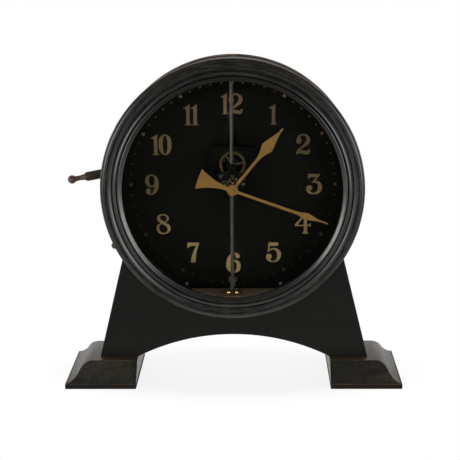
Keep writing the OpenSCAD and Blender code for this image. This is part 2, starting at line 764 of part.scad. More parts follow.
ratchet_r = 5;
ratchet_n = 24;
module rack_pinion() color("#8d8b86") {
    slab(-rack_front + 0.1, rack_back - 0.1) translate(pinion_place) rotate(180)
        toothed(rack_leaves, rack_module, 0.8, 1.25, 0.22, 0.13);
    round_bar(pinion_place, pinion_arbor_r, bridge_back + 0.1, plate_back);
    round_bar(pinion_place, stout_r, bridge_front, bridge_back + 0.2);
    slab(bay + 0.3, bay + 1.1) translate(pinion_place) polygon([for (i = [0:ratchet_n - 1])
        each [polar(i * 360 / ratchet_n, ratchet_r), polar(i * 360 / ratchet_n + 1, ratchet_r - 0.5)]]);
}
great_layer = 1.3;
module great_wheel() color("#9c8448") {
    difference() {
        wheel(pinion_place, inter_place, great_n, great_m, great_layer, 0.8, 2.4, great_arms);
        round_bar(pinion_place, pinion_arbor_r + run_fit, bay, bay_back);
    }
    round_bar(click_place, 0.5, bay + 0.3, bay + great_layer + 0.1);
}
click_a = bearing(pinion_place, inter_place) + 3 * 360 / great_arms;
click_place = pinion_place + polar(click_a, great_m * great_n / 2 - 1.6);
click_tip = pinion_place + polar(click_a - 35, ratchet_r + 0.1);
module click() color("#7f7d78") {
    reach = norm(click_tip - click_place);
    difference() {
        slab(bay + 0.4, bay + 1) translate(click_place) rotate(bearing(click_place, click_tip)) {
            circle(r = 1.1);
            polygon([[0, -0.8], [reach, 0], [reach, 0.25], [0, 0.8]]);
        }
        round_bar(click_place, 0.5 + run_fit, bay, bay + great_layer);
    }
}
module intermediate_wheel() color("#9c8448") {
    leaves(inter_place, pinion_place, inter_leaves, great_m, 1, 1.4);
    wheel(inter_place, centre_place, inter_n, inter_m, 2.8, 0.5, 1.6, 4);
    train_arbor(inter_place);
}
module centre_wheel() color("#9c8448") {
    leaves(centre_place, inter_place, centre_leaves, inter_m, 2.5, 1.2);
    wheel(centre_place, third_place, centre_n, centre_m, 4.2, 0.5, 1.8, 4);
    round_bar(centre_place, stout_r, bridge_front - 1.5, plate_back);
}
module third_wheel() color("#9c8448") {
    leaves(third_place, centre_place, third_leaves, centre_m, 3.9, 1.1);
    wheel(third_place, fourth_place, third_n, third_m, 3, 0.5, 1.4, 4);
    train_arbor(third_place);
}
module fourth_wheel() color("#9c8448") {
    leaves(fourth_place, third_place, fourth_leaves, third_m, 2.7, 1.1);
    wheel(fourth_place, escape_place, fourth_n, fourth_m, 5.3, 0.4, 1.4, 4);
    train_arbor(fourth_place);
}
escape_layer = 3.6;
module escape_wheel() color("#b09a58") {
    leaves(escape_place, fourth_place, escape_leaves, fourth_m, 5, 1);
    step = 360 / escape_n;
    slab(bay + escape_layer, bay + escape_layer + 0.6) translate(escape_place)
        rotate(bearing(escape_place, pallet_place)) difference() {
            polygon([for (i = [0:escape_n - 1]) each [
                polar(i * step - 4, escape_r - 0.9), polar(i * step - 3, escape_r - 0.25),
                polar(i * step, escape_r), polar(i * step + 2, escape_r - 0.9)]]);
            crossings(escape_r - 1.6, 0.9, 4, 0.6);
        }
    train_arbor(escape_place);
}
stone_span = 30;
stone_r = 0.3;
stone_at = escape_r + 0.08 + stone_r;
roller_pin_r = 0.25;
roller_pin_at = 2;
fork_end = fork_gap - roller_pin_at - roller_pin_r - 0.1;
// A straight arm with round ends from p to q
module link(p, q, w) {
    translate(p) rotate(bearing(p, q)) translate([0, -w / 2]) square([norm(q - p), w]);
    translate(p) circle(r = w / 2);
    translate(q) circle(r = w / 2);
}
module pallet_lever() color("#8d8b86") {
    toward = bearing(escape_place, pallet_place);
    slab(bay + escape_layer - 0.1, bay + escape_layer + 0.7) {
        for (side = [-1, 1])
            link(pallet_place, escape_place + polar(toward + side * stone_span, stone_at), 2 * stone_r);
        translate(pallet_place) circle(r = 0.8);
        translate(pallet_place) rotate(bearing(pallet_place, balance_place)) difference() {
            polygon([[0, -0.45], [fork_end - 0.9, -0.45], [fork_end, -0.85], [fork_end, 0.85],
                [fork_end - 0.9, 0.45], [0, 0.45]]);
            translate([fork_end - 0.6, -roller_pin_r - run_fit]) square([1, 2 * (roller_pin_r + run_fit)]);
        }
    }
    train_arbor(pallet_place);
}
roller_front = bay + escape_layer - 0.9;
module balance_staff() color("#a5a39c") {
    round_bar(balance_place, arbor_r, cock_front, plate_back);
    round_bar(balance_place, 0.9, balance_front, plate_front - 0.2);
    round_bar(balance_place, 1, bay + 0.3, roller_front + eps);
    round_bar(balance_place + polar(bearing(balance_place, pallet_place), roller_pin_at), roller_pin_r,
        roller_front, bay + escape_layer + 0.8);
    round_bar(balance_place, roller_pin_at + 0.35, roller_front, roller_front + 0.5);
}
arm_a = 8;
rim_w = 2.2;
module balance_wheel() color("#8f7d50") {
    slab(balance_front, balance_front + balance_t) translate(balance_place) rotate(arm_a) difference() {
        circle(r = balance_r);
        crossings(balance_r - rim_w, 2.5, 3, 1.8);
        circle(r = 0.9);
    }
}
spring_r = 6;
spring_t = 0.22;
spring_end_a = 250;
spring_in_r = 1.15;
spring_steps = round(spring_turns * 24);
function coil(i, o) = polar(spring_end_a + (i / spring_steps - 1) * spring_turns * 360,
    spring_in_r + (spring_r - spring_in_r) * i / spring_steps + o);
module hairspring() color("#5d6470") {
    slab(spring_front, spring_front + 0.6) translate(balance_place) {
        polygon(concat([for (i = [0:spring_steps]) coil(i, -spring_t / 2)],
            [for (i = [spring_steps:-1:0]) coil(i, spring_t / 2)]));
        difference() {
            circle(r = 1.3);
            circle(r = 0.9);
        }
    }
}
module balance_cock() color("#3a3b3c") {
    difference() {
        union() {
            slab(cock_front, cock_front + cock_t) {
                translate(hub + [-2.4, 1]) square([4.8, balance_h - 1]);
                translate(balance_place) circle(r = 3);
            }
            slab(cock_front, plate_front) translate(hub + [-3.4, 0.6]) square([5.4, 6.6]);
        }
        round_bar(balance_place, arbor_r + run_fit, cock_front - 1, cock_front + 2);
        round_bar(cock_screw_place, 0.7, cock_front - 1, plate_front + 1);
    }
}
cock_screw_place = hub + [-0.7, 3.8];

// Motion work in front of the bridge
hub_stud_r = 0.8;
drive_n = 24;
drive_m = norm(centre_place - hub) / drive_n;
minute_n = 36;
cannon_leaves = 12;
minute_m = 2 * norm(minute_stud - hub) / (minute_n + cannon_leaves);
hour_n = 40;
minute_leaves = 10;
hour_m = 2 * norm(minute_stud - hub) / (hour_n + minute_leaves);
drive_back = bridge_front - 0.2;
drive_front = drive_back - 0.6;
minute_back = drive_front - 0.4;
minute_front = minute_back - 0.5;
hour_back = minute_front - 0.4;
hour_front = hour_back - 0.5;
hour_pipe_r = 2;
cannon_pipe_r = 1.25;
hour_hand_back = hour_front - 0.7;
minute_hand_back = hour_hand_back - hand_t - 1;
module drive_wheel() color("#77756f") {
    slab(drive_front, drive_back) translate(centre_place) rotate(bearing(centre_place, hub)) difference() {
        even_teeth(drive_n, drive_m);
        circle(r = stout_r + run_fit / 2);
    }
}
module cannon_pinion() color("#77756f") {
    difference() {
        union() {
            slab(drive_front, drive_back) translate(hub) rotate(bearing(hub, centre_place) + 180 / drive_n)
                even_teeth(drive_n, drive_m);
            slab(minute_front - 0.1, drive_front + eps) translate(hub)
                rotate(bearing(hub, minute_stud) + 180 / cannon_leaves) pinion_teeth(cannon_leaves, minute_m);
            round_bar(hub, cannon_pipe_r, minute_hand_back - hand_t, minute_front);
        }
        round_bar(hub, hub_stud_r + run_fit, glass_front, plate_front);
    }
}
module minute_wheel() color("#a08a4e") {
    a = bearing(minute_stud, hub);
    difference() {
        union() {
            slab(minute_front, minute_back) translate(minute_stud) rotate(a) difference() {
                wheel_teeth(minute_n, minute_m);
                crossings(minute_m * minute_n / 2 - 1.2, 1.4, 3, 0.8);
            }
            slab(hour_front - 0.1, minute_front + eps) translate(minute_stud) rotate(a + 180 / minute_leaves)
                pinion_teeth(minute_leaves, hour_m);
        }
        round_bar(minute_stud, 0.4 + run_fit, glass_front, plate_front);
    }
}
module hour_wheel() color("#77756f") {
    difference() {
        union() {
            slab(hour_front, hour_back) translate(hub) rotate(bearing(hub, minute_stud)) wheel_teeth(hour_n, hour_m);
            round_bar(hub, hour_pipe_r, hour_hand_back - hand_t, hour_front + eps);
        }
        round_bar(hub, cannon_pipe_r + run_fit, glass_front, plate_front);
    }
}

// Hands, drawn pointing to twelve, then turned to the time
function mirrored(side) = concat(side, [for (i = [len(side) - 1:-1:0]) [-side[i][0], side[i][1]]]);
minute_a = -6 * minutes;
hour_a = -30 * (hours + minutes / 60);
spade = minute_hand_l * 0.765;
lozenge = hour_hand_l * 0.69;
// Half widths of the minute hand at its shaft, its spade and its tip
shaft_w = 1.3;
spade_w = 3.3;
tip_w = 0.45;
tail_w = 9.8;
// Half width of the flared tail at a distance from the centre
function tail_half(s) = 1.8 + (tail_w - 1.8) * pow((s - hand_boss_r) / (tail_l - hand_boss_r), 1.9);
module minute_hand() color("#c99f45") {
    slab(minute_hand_back - hand_t, minute_hand_back) translate(hub) difference() {
        rotate(minute_a) {
            polygon(mirrored([[shaft_w, 0], [shaft_w, spade - 11], [spade_w / 2, spade - 6],
                [spade_w, spade + 1], [2 * tip_w, spade + 12], [tip_w, minute_hand_l]]));
            polygon(mirrored(concat([[0, -tail_l - 0.6]], [for (i = [0:7])
                let (s = tail_l - (tail_l - hand_boss_r + 1) * i / 7) [tail_half(max(s, hand_boss_r)), -s]])));
            circle(r = hand_boss_r);
        }
        circle(r = cannon_pipe_r);
    }
}
module hand_nut() color("#c99f45") {
    difference() {
        round_bar(hub, 1.7, minute_hand_back - hand_t - 0.8, minute_hand_back - hand_t - 0.1);
        round_bar(hub, hub_stud_r + run_fit, glass_front, plate_front);
    }
}
module hour_hand() color("#c99f45") {
    slab(hour_hand_back - hand_t, hour_hand_back) translate(hub) difference() {
        rotate(hour_a) {
            polygon(mirrored([[1.4, 0], [1.25, lozenge - 15], [1.9, lozenge - 10], [3.4, lozenge - 5],
                [5.8, lozenge], [3.4, lozenge + 8.4], [1.6, lozenge + 15], [0.9, lozenge + 18.5],
                [0.5, hour_hand_l]]));
            circle(r = hand_boss_r);
        }
        circle(r = hour_pipe_r);
    }
}

foot_left();
foot_right();
base_front_panel();
base_back_panel();
base_side_left();
base_side_right();
base_soffit();
drum_shell();
floor_block();
dial_plate();
dial_screws();
back_cover();
back_cover_screws();
bezel_ring();
sight_ring();
glass();
glass_retainer();
catch_knob();
hinge_door_leaf();
hinge_drum_leaf();
hinge_pin();
rack();
rack_foot();
rack_top_block();
rack_screws();
rack_stop();
lever_arm();
lever_ferrule();
lever_handle();
lever_pivot();
lever_collar();
front_plate();
back_plate();
pillars();
rack_guides();
rack_keeper();
front_bridge();
movement_screws();
hand_studs();
lift_bracket();
balance_cock();
rack_pinion();
great_wheel();
click();
intermediate_wheel();
centre_wheel();
third_wheel();
fourth_wheel();
escape_wheel();
pallet_lever();
balance_staff();
balance_wheel();
hairspring();
drive_wheel();
cannon_pinion();
minute_wheel();
hour_wheel();
minute_hand();
hand_nut();
hour_hand();
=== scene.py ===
import math

import bmesh
import bpy
from mathutils import Matrix, Vector


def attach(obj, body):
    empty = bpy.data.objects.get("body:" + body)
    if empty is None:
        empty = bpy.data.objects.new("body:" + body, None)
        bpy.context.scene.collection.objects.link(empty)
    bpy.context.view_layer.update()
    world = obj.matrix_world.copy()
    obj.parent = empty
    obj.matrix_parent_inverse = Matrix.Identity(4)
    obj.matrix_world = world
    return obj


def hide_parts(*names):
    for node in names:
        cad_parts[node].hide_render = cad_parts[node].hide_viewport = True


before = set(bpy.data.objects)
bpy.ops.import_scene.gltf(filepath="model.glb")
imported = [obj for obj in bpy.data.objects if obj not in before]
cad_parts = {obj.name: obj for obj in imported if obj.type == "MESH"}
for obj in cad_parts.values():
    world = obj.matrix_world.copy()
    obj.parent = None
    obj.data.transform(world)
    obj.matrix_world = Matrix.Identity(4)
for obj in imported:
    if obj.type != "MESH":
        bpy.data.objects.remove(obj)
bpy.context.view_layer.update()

# Camera.
# It stands a little over a metre in front of the clock and slightly to its right, and looks down
# on it by thirteen degrees with a long lens.
scene = bpy.context.scene
MM = 0.001
camera_spot = Vector((21.6, -1135.9, 412.0)) * MM
camera_turn, camera_tip, camera_roll = math.radians(1.236), math.radians(90 - 13.379), math.radians(-0.465)
camera = bpy.data.objects.new("camera", bpy.data.cameras.new("camera"))
camera.data.sensor_width = 36
camera.data.lens = 96.39
camera.matrix_world = (
    Matrix.Translation(camera_spot)
    @ Matrix.Rotation(camera_turn, 4, "Z")
    @ Matrix.Rotation(camera_tip, 4, "X")
    @ Matrix.Rotation(camera_roll, 4, "Z")
)
scene.collection.objects.link(camera)
scene.camera = camera
scene.view_settings.view_transform = "Standard"


# Studio.
# A white sweep and two broad lit panels, at the right and the left of the camera, with soft ends
# so that glass and polish show no hard frame. A black card round the lens keeps the glass dark.
def tone(code):
    """A colour written as #rrggbb, in the linear values that a shader takes."""
    parts = [int(code[i : i + 2], 16) / 255 for i in (1, 3, 5)]
    return [p / 12.92 if p <= 0.04045 else ((p + 0.055) / 1.055) ** 2.4 for p in parts] + [1]


def add(tree, kind, inputs=None, **settings):
    """A new shader node. An input takes a value or another node's output."""
    node = tree.nodes.new("ShaderNode" + kind)
    for key, value in settings.items():
        setattr(node, key, value)
    for key, value in (inputs or {}).items():
        if isinstance(value, bpy.types.NodeSocket):
            tree.links.new(value, node.inputs[key])
        else:
            node.inputs[key].default_value = value
    return node


def spread(tree, value, low, high, to_low=0.0, to_high=1.0):
    """The value carried from one range to another, and held at its ends."""
    inputs = {"Value": value, "From Min": low, "From Max": high, "To Min": to_low, "To Max": to_high}
    return add(tree, "MapRange", inputs).outputs["Result"]


def reckon(tree, operation, a, b=0.0):
    return add(tree, "Math", {0: a, 1: b}, operation=operation).outputs[0]


def blend_tones(tree, share, first, second):
    return add(tree, "Mix", {0: share, 6: first, 7: second}, data_type="RGBA").outputs[2]


def object_place(tree):
    """Where a point lies on its piece, whatever the pose."""
    return add(tree, "TexCoord").outputs["Object"]


room_level, wall_level, back_level = 0.24, 0.95, 1.0
to_lens = (-0.019, -0.979, -0.203)
squashed = (1.0, 1.0, 1.5)
room = bpy.data.worlds.new("studio")
room.use_nodes = True
scene.world = room
air = room.node_tree
air.nodes.clear()
way = add(air, "TexCoord").outputs["Generated"]
heading = add(air, "SeparateXYZ", {0: way})
behind = spread(air, heading.outputs["Y"], 0.0, 0.5)
beside = spread(air, reckon(air, "ABSOLUTE", heading.outputs["X"]), 0.08, 0.45)
low = spread(air, heading.outputs["Z"], -0.7, -0.15)
not_high = spread(air, heading.outputs["Z"], 0.5, 0.1)
walls = reckon(air, "MULTIPLY", beside, reckon(air, "MULTIPLY", low, not_high))
room_light = reckon(air, "ADD", reckon(air, "MULTIPLY", walls, wall_level), room_level)
facing = add(air, "VectorMath", {0: way, 1: to_lens}, operation="DOT_PRODUCT").outputs["Value"]
black_card = spread(air, facing, 0.9947, 0.986)
flattened = add(air, "VectorMath", {0: way, 1: squashed}, operation="MULTIPLY").outputs[0]
flattened = add(air, "VectorMath", {0: flattened}, operation="NORMALIZE").outputs[0]


def soft_panel(round_deg, up_deg, inner_deg, outer_deg, strength):
    """A lit panel, wider than high, at an angle to the right of the clock's front and upward."""
    around, up = math.radians(round_deg), math.radians(up_deg)
    toward = Vector((math.sin(around) * math.cos(up), -math.cos(around) * math.cos(up), math.sin(up)))
    toward = (toward * Vector(squashed)).normalized()
    near = add(air, "VectorMath", {0: flattened, 1: tuple(toward)}, operation="DOT_PRODUCT")
    edge, core = math.cos(math.radians(outer_deg)), math.cos(math.radians(inner_deg))
    return spread(air, near.outputs["Value"], edge, core, 0.0, strength)


right_panel = soft_panel(round_deg=38, up_deg=3.5, inner_deg=12, outer_deg=26, strength=3.9)
left_panel = soft_panel(round_deg=-48, up_deg=6, inner_deg=9, outer_deg=22, strength=4.9)
front = reckon(air, "MULTIPLY", room_light, black_card)
front = reckon(air, "ADD", front, right_panel)
front = reckon(air, "ADD", front, left_panel)
glow = add(air, "Mix", {0: behind, 2: front, 3: back_level}, data_type="FLOAT").outputs[0]
by_eye = add(air, "LightPath").outputs["Is Camera Ray"]
seen = add(air, "Background", {"Color": (1, 1, 1, 1), "Strength": 1.0})
felt = add(air, "Background", {"Color": (1, 1, 1, 1), "Strength": glow})
sky = add(air, "MixShader", {0: by_eye, 1: felt.outputs[0], 2: seen.outputs[0]})
add(air, "OutputWorld", {"Surface": sky.outputs[0]})


floor_half_w, floor_half_d = 1.2, 1.6
floor_mid_x, floor_front = 0.7, -0.09
floor_mesh = bmesh.new()
bmesh.ops.create_grid(floor_mesh, x_segments=1, y_segments=1, size=1)
bmesh.ops.scale(floor_mesh, verts=floor_mesh.verts, vec=(floor_half_w, floor_half_d, 1))
floor_spot = (floor_mid_x, floor_half_d + floor_front, 0)
bmesh.ops.translate(floor_mesh, verts=floor_mesh.verts, vec=floor_spot)
floor = bpy.data.objects.new("floor", bpy.data.meshes.new("floor"))
floor_mesh.to_mesh(floor.data)
floor_mesh.free()
scene.collection.objects.link(floor)
sweep = bpy.data.materials.new("white_sweep")
sweep.use_nodes = True
cloth = sweep.node_tree
cloth.nodes.clear()
rays = add(cloth, "LightPath").outputs
mirrored_rays = reckon(cloth, "MAXIMUM", rays["Is Glossy Ray"], rays["Is Transmission Ray"])
plain_rays = reckon(cloth, "MAXIMUM", rays["Is Camera Ray"], mirrored_rays)
drawn_in = add(cloth, "Mapping", {"Vector": object_place(cloth), "Scale": (1, 2.2, 1)}).outputs[0]
distance = add(cloth, "VectorMath", {0: drawn_in}, operation="LENGTH").outputs["Value"]
lift = reckon(cloth, "MULTIPLY", plain_rays, spread(cloth, distance, 0.12, 0.19, 0.86, 1.0))
paper = add(cloth, "BsdfDiffuse", {"Color": (0.9, 0.9, 0.9, 1)})
white = add(cloth, "Emission", {"Color": (1, 1, 1, 1), "Strength": 1.0})
lit = add(cloth, "MixShader", {0: lift, 1: paper.outputs[0], 2: white.outputs[0]})
add(cloth, "OutputMaterial", {"Surface": lit.outputs[0]})
floor.data.materials.append(sweep)


# Feet.
# Two blocks of stained and ebonised hardwood with an ogee on the outer side, each on a thin
# plinth. The stain is rubbed through along the plinth, the corners and the top, and the upward
# faces are painted paler as light from above.
def grain(tree, place, scale, detail, roughness=0.5):
    """Noise at a scale given as cells a metre."""
    inputs = {"Vector": place, "Scale": scale, "Detail": detail, "Roughness": roughness}
    return add(tree, "TexNoise", inputs).outputs["Fac"]


def wear_group():
    """A mask that is 1 on edges and breaks up along them: where a hand rubs a corner, and on the hands a
    painted edge highlight.
    """
    tree = bpy.data.node_groups.new("edge_wear_and_sheen", "ShaderNodeTree")
    for name in ("Width", "Breakup Scale", "Breakup"):
        tree.interface.new_socket(name, in_out="INPUT", socket_type="NodeSocketFloat")
    tree.interface.new_socket("Mask", in_out="OUTPUT", socket_type="NodeSocketFloat")
    given = tree.nodes.new("NodeGroupInput").outputs
    eased = add(tree, "Bevel", {"Radius": given["Width"]}, samples=6)
    true_normal = add(tree, "NewGeometry").outputs["True Normal"]
    agree = add(tree, "VectorMath", {0: eased.outputs[0], 1: true_normal}, operation="DOT_PRODUCT")
    edge = spread(tree, agree.outputs["Value"], 0.995, 0.86)
    patches = grain(tree, object_place(tree), given["Breakup Scale"], 5.0)
    gaps = spread(tree, patches, 0.35, 0.6)
    kept = add(tree, "Mix", {0: given["Breakup"], 2: 1.0, 3: gaps}, data_type="FLOAT").outputs[0]
    result = tree.nodes.new("NodeGroupOutput")
    tree.links.new(reckon(tree, "MULTIPLY", edge, kept), result.inputs["Mask"])
    return tree


def mottle_group():
    """Cloudy staining: a broad and a fine noise together, with its height."""
    tree = bpy.data.node_groups.new("cloudy_stain", "ShaderNodeTree")
    tree.interface.new_socket("Stretch", in_out="INPUT", socket_type="NodeSocketVector")
    tree.interface.new_socket("Fine Share", in_out="INPUT", socket_type="NodeSocketFloat")
    tree.interface.new_socket("Tone", in_out="OUTPUT", socket_type="NodeSocketFloat")
    tree.interface.new_socket("Height", in_out="OUTPUT", socket_type="NodeSocketFloat")
    given = tree.nodes.new("NodeGroupInput").outputs
    drawn = add(tree, "VectorMath", {0: object_place(tree), 1: given["Stretch"]}, operation="MULTIPLY")
    broad = grain(tree, drawn.outputs[0], 1.0, 6.0, 0.6)
    fine = grain(tree, drawn.outputs[0], 7.0, 4.0, 0.7)
    both = add(tree, "Mix", {0: given["Fine Share"], 2: broad, 3: fine}, data_type="FLOAT").outputs[0]
    result = tree.nodes.new("NodeGroupOutput")
    tree.links.new(spread(tree, both, 0.3, 0.7), result.inputs["Tone"])
    tree.links.new(fine, result.inputs["Height"])
    return tree


def speck_group():
    """Dust and small chips: scattered dots, few and uneven in size."""
    tree = bpy.data.node_groups.new("specks", "ShaderNodeTree")
    for name in ("Scale", "Reach"):
        tree.interface.new_socket(name, in_out="INPUT", socket_type="NodeSocketFloat")
    tree.interface.new_socket("Mask", in_out="OUTPUT", socket_type="NodeSocketFloat")
    given = tree.nodes.new("NodeGroupInput").outputs
    cells = add(tree, "TexVoronoi", {"Vector": object_place(tree), "Scale": given["Scale"]})
    pick = add(tree, "SeparateColor", {0: cells.outputs["Color"]}).outputs[0]
    size = reckon(tree, "MULTIPLY", reckon(tree, "POWER", pick, 6.0), given["Reach"])
    dot = reckon(tree, "LESS_THAN", cells.outputs["Distance"], size)
    result = tree.nodes.new("NodeGroupOutput")
    tree.links.new(dot, result.inputs["Mask"])
    return tree


EDGE_WEAR_AND_SHEEN, CLOUDY_STAIN, SPECKS = wear_group(), mottle_group(), speck_group()


def use(tree, group, **inputs):
    """One of the shared effects, placed in a finish."""
    node = tree.nodes.new("ShaderNodeGroup")
    node.node_tree = group
    for key, value in inputs.items():
        node.inputs[key.replace("_", " ")].default_value = value
    return node.outputs


def new_finish(name, **sockets):
    """A finish with its shader, its sockets set by name."""
    finish = bpy.data.materials.new(name)
    finish.use_nodes = True
    finish.node_tree.nodes.clear()
    skin = add(finish.node_tree, "BsdfPrincipled")
    for key, value in sockets.items():
        skin.inputs[key.replace("_", " ")].default_value = value
    add(finish.node_tree, "OutputMaterial", {"Surface": skin.outputs[0]})
    return finish, finish.node_tree, skin


def raise_surface(tree, skin, height, depth):
    """A bump of a given depth in millimetres."""
    bump = add(tree, "Bump", {"Height": height, "Distance": depth * MM, "Strength": 1.0})
    tree.links.new(bump.outputs[0], skin.inputs["Normal"])


def ebonised(name, dark, pale, rubbed, stretch, rough, width, breakup, fine=0.4, chips=0.0, **sockets):
    """Black-stained wood: cloudy stain, rubbed edges and a few chips."""
    finish, tree, skin = new_finish(name, **sockets)
    stain = use(tree, CLOUDY_STAIN, Stretch=stretch, Fine_Share=fine)
    edges = use(tree, EDGE_WEAR_AND_SHEEN, Width=width * MM, Breakup_Scale=160.0, Breakup=breakup)
    dots = use(tree, SPECKS, Scale=220.0, Reach=chips)
    colour = blend_tones(tree, stain["Tone"], tone(dark), tone(pale))
    colour = blend_tones(tree, reckon(tree, "MAXIMUM", edges["Mask"], dots["Mask"]), colour, tone(rubbed))
    tree.links.new(colour, skin.inputs["Base Color"])
    tree.links.new(spread(tree, stain["Tone"], 0.0, 1.0, *rough), skin.inputs["Roughness"])
    raise_surface(tree, skin, stain["Height"], 0.04)
    return finish


def dressed(node, body, finish, ease=0.0, steps=2):
    """A CAD node's shape with its corners eased, in its place."""
    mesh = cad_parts[node].data.copy()
    mesh.name = node + "_finished"
    shape = bmesh.new()
    shape.from_mesh(mesh)
    bmesh.ops.remove_doubles(shape, verts=shape.verts, dist=1e-6)
    bmesh.ops.dissolve_limit(shape, angle_limit=math.radians(0.4), verts=shape.verts, edges=shape.edges)
    shape.to_mesh(mesh)
    shape.free()
    return placed(mesh, node + "_finished", body, finish, (node,), ease, steps)


def placed(mesh, name, body, finish, nodes=(), ease=0.0, steps=2):
    """A finished mesh as a piece that moves with its body."""
    mesh.materials.clear()
    mesh.materials.append(finish)
    mesh.shade_smooth()
    mesh.set_sharp_from_angle(angle=math.radians(32))
    piece = bpy.data.objects.new(name, mesh)
    scene.collection.objects.link(piece)
    if ease:
        corner = piece.modifiers.new("eased_corners", "BEVEL")
        corner.width, corner.segments = ease * MM, steps
        corner.limit_method, corner.angle_limit = "ANGLE", math.radians(32)
        corner.harden_normals = True
    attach(piece, body)
    if nodes:
        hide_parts(*nodes)
    return piece


worn_wood = ebonised(
    "worn_ebonised_wood", "#0b0c0a", "#1f201b", "#6c5b40", (45, 45, 90), (0.52, 0.38), 0.8, 1.0,
    fine=0.35, chips=0.1, Specular_IOR_Level=0.3,
)
dark_plinth_to, plain_block_from = 4.4, 5.4
reddish_rub_to, pale_rub_from = 6.0, 20.0
worn = worn_wood.node_tree
worn_skin = worn.nodes["Principled BSDF"]
worn_place = object_place(worn)
brushed = add(worn, "Mapping", {"Vector": worn_place, "Scale": (90, 400, 900)}).outputs[0]
strokes = grain(worn, brushed, 1.0, 5.0, 0.75)
flecks = grain(worn, worn_place, 620.0, 3.0)
clouds = grain(worn, worn_place, 38.0, 3.0)
worn_axes = add(worn, "SeparateXYZ", {0: worn_place}).outputs
upward = add(worn, "SeparateXYZ", {0: add(worn, "NewGeometry").outputs["Normal"]}).outputs["Z"]
bare = reckon(worn, "MULTIPLY", spread(worn, strokes, 0.5, 0.75), spread(worn, clouds, 0.42, 0.62))
to_left = spread(worn, reckon(worn, "MULTIPLY", worn_axes["X"], -1.0), 0.02, 0.15)
more_worn = reckon(worn, "MULTIPLY", to_left, spread(worn, clouds, 0.4, 0.6))
more_worn = reckon(worn, "MULTIPLY", more_worn, spread(worn, flecks, 0.38, 0.64, 0.1, 0.6))
near_plinth = spread(worn, worn_axes["Z"], plain_block_from * MM, dark_plinth_to * MM)
# Upward faces are painted paler, broken up by flecks: painted light from above.
painted_top_light = spread(worn, flecks, 0.38, 0.6, 0.1, 0.8)
painted_top_light = reckon(worn, "MULTIPLY", spread(worn, upward, 0.72, 0.93), painted_top_light)
rub = use(worn, EDGE_WEAR_AND_SHEEN, Width=0.9 * MM, Breakup_Scale=75.0, Breakup=1.0)["Mask"]
rub = reckon(worn, "MULTIPLY", rub, spread(worn, clouds, 0.44, 0.58, 0.15, 1.0))
rub_height = spread(worn, worn_axes["Z"], reddish_rub_to * MM, pale_rub_from * MM)
wear_and_painted_light_layers = (
    (reckon(worn, "MULTIPLY", bare, 0.6), tone("#403f37")),
    (spread(worn, flecks, 0.62, 0.76, 0.0, 0.5), tone("#625d4f")),
    (more_worn, tone("#433f34")),
    (reckon(worn, "MULTIPLY", near_plinth, 0.85), tone("#0f0a08")),
    (painted_top_light, tone("#5f4b3b")),
    (rub, blend_tones(worn, rub_height, tone("#7c4a30"), tone("#a5805e"))),
)
worn_colour = worn_skin.inputs["Base Color"].links[0].from_socket
for share, colour in wear_and_painted_light_layers:
    worn_colour = blend_tones(worn, share, worn_colour, colour)
worn.links.new(worn_colour, worn_skin.inputs["Base Color"])
stroked = spread(worn, strokes, 0.4, 0.6, 0.3, 1.0)
scuffed = reckon(worn, "MULTIPLY", spread(worn, flecks, 0.42, 0.6), stroked)
worn_rough = spread(worn, scuffed, 0.0, 1.0, 0.3, 0.5)
worn_rough = reckon(worn, "MAXIMUM", worn_rough, reckon(worn, "MULTIPLY", near_plinth, 0.9))
worn.links.new(worn_rough, worn_skin.inputs["Roughness"])
for foot in ("foot_left", "foot_right"):
    dressed(foot, "case", worn_wood, ease=0.5, steps=3)

# Carcass.
# Thin ebonised boards: an arched front and back, two leaning sides and a bent board under the
# arch, glued round the drum. The finish is even and satin, with brown wood along the arch.
black_wood = ebonised(
    "ebonised_wood", "#10110f", "#191a17", "#4f3a2c", (40, 40, 90), (0.46, 0.38), 0.3, 0.7,
    Specular_IOR_Level=0.12,
)
for board in ("base_front_panel", "base_back_panel", "base_side_left", "base_side_right", "base_soffit"):
    dressed(board, "case", black_wood, ease=0.3)

# Drum.
# The round case, turned in one piece with a bead behind, a slot on the left for the lever, and a
# flat floor inside. A loose back cover is held by four screws.
dial_centre = Vector((0, 0, 184.2)) * MM


def ring_radius(tree):
    """Distance from the dial's axis, for finishes that change round a ring."""
    moved = {"Vector": object_place(tree), "Location": -dial_centre, "Scale": (1, 0, 1)}
    centred = add(tree, "Mapping", moved).outputs[0]
    return add(tree, "VectorMath", {0: centred}, operation="LENGTH").outputs["Value"]


drum_wood = ebonised(
    "drum_wood", "#10110f", "#191a17", "#5d4c40", (40, 40, 90), (0.42, 0.34), 0.5, 0.8,
    Specular_IOR_Level=0.3,
)
shell = drum_wood.node_tree
shell_skin = shell.nodes["Principled BSDF"]
shell_colour = shell_skin.inputs["Base Color"].links[0].from_socket
shell_patches = spread(shell, grain(shell, object_place(shell), 60.0, 5.0), 0.35, 0.6, 0.3, 1.0)
on_bead = spread(shell, ring_radius(shell), 118.7 * MM, 119.6 * MM)
bead_rub = reckon(shell, "MULTIPLY", on_bead, shell_patches)
shell_colour = blend_tones(shell, bead_rub, shell_colour, tone("#6e5f54"))
shell.links.new(shell_colour, shell_skin.inputs["Base Color"])
dressed("drum_shell", "case", drum_wood, ease=0.3)
dressed("back_cover", "case", black_wood, ease=0.3)
floor_wood = ebonised(
    "floor_wood", "#544b3f", "#7f6e5c", "#8c7860", (60, 240, 240), (0.6, 0.5), 0.4, 0.5,
    Specular_IOR_Level=0.1,
)
dressed("floor_block", "case", floor_wood, ease=0.2)

# Bezel.
# A turned and ebonised ring that carries the glass: a wide crown between two narrow beads, with a
# round lip outside. The polish is scratched round the ring, and the lip is rubbed to brown wood.
def arc(centre, radius, start, end, steps=12):
    """Points of a bead's profile. Angles run from outward, 0, to forward, 90."""
    angles = [math.radians(start + (end - start) * i / steps) for i in range(steps + 1)]
    return [(centre[0] + radius * math.cos(a), centre[1] - radius * math.sin(a)) for a in angles]


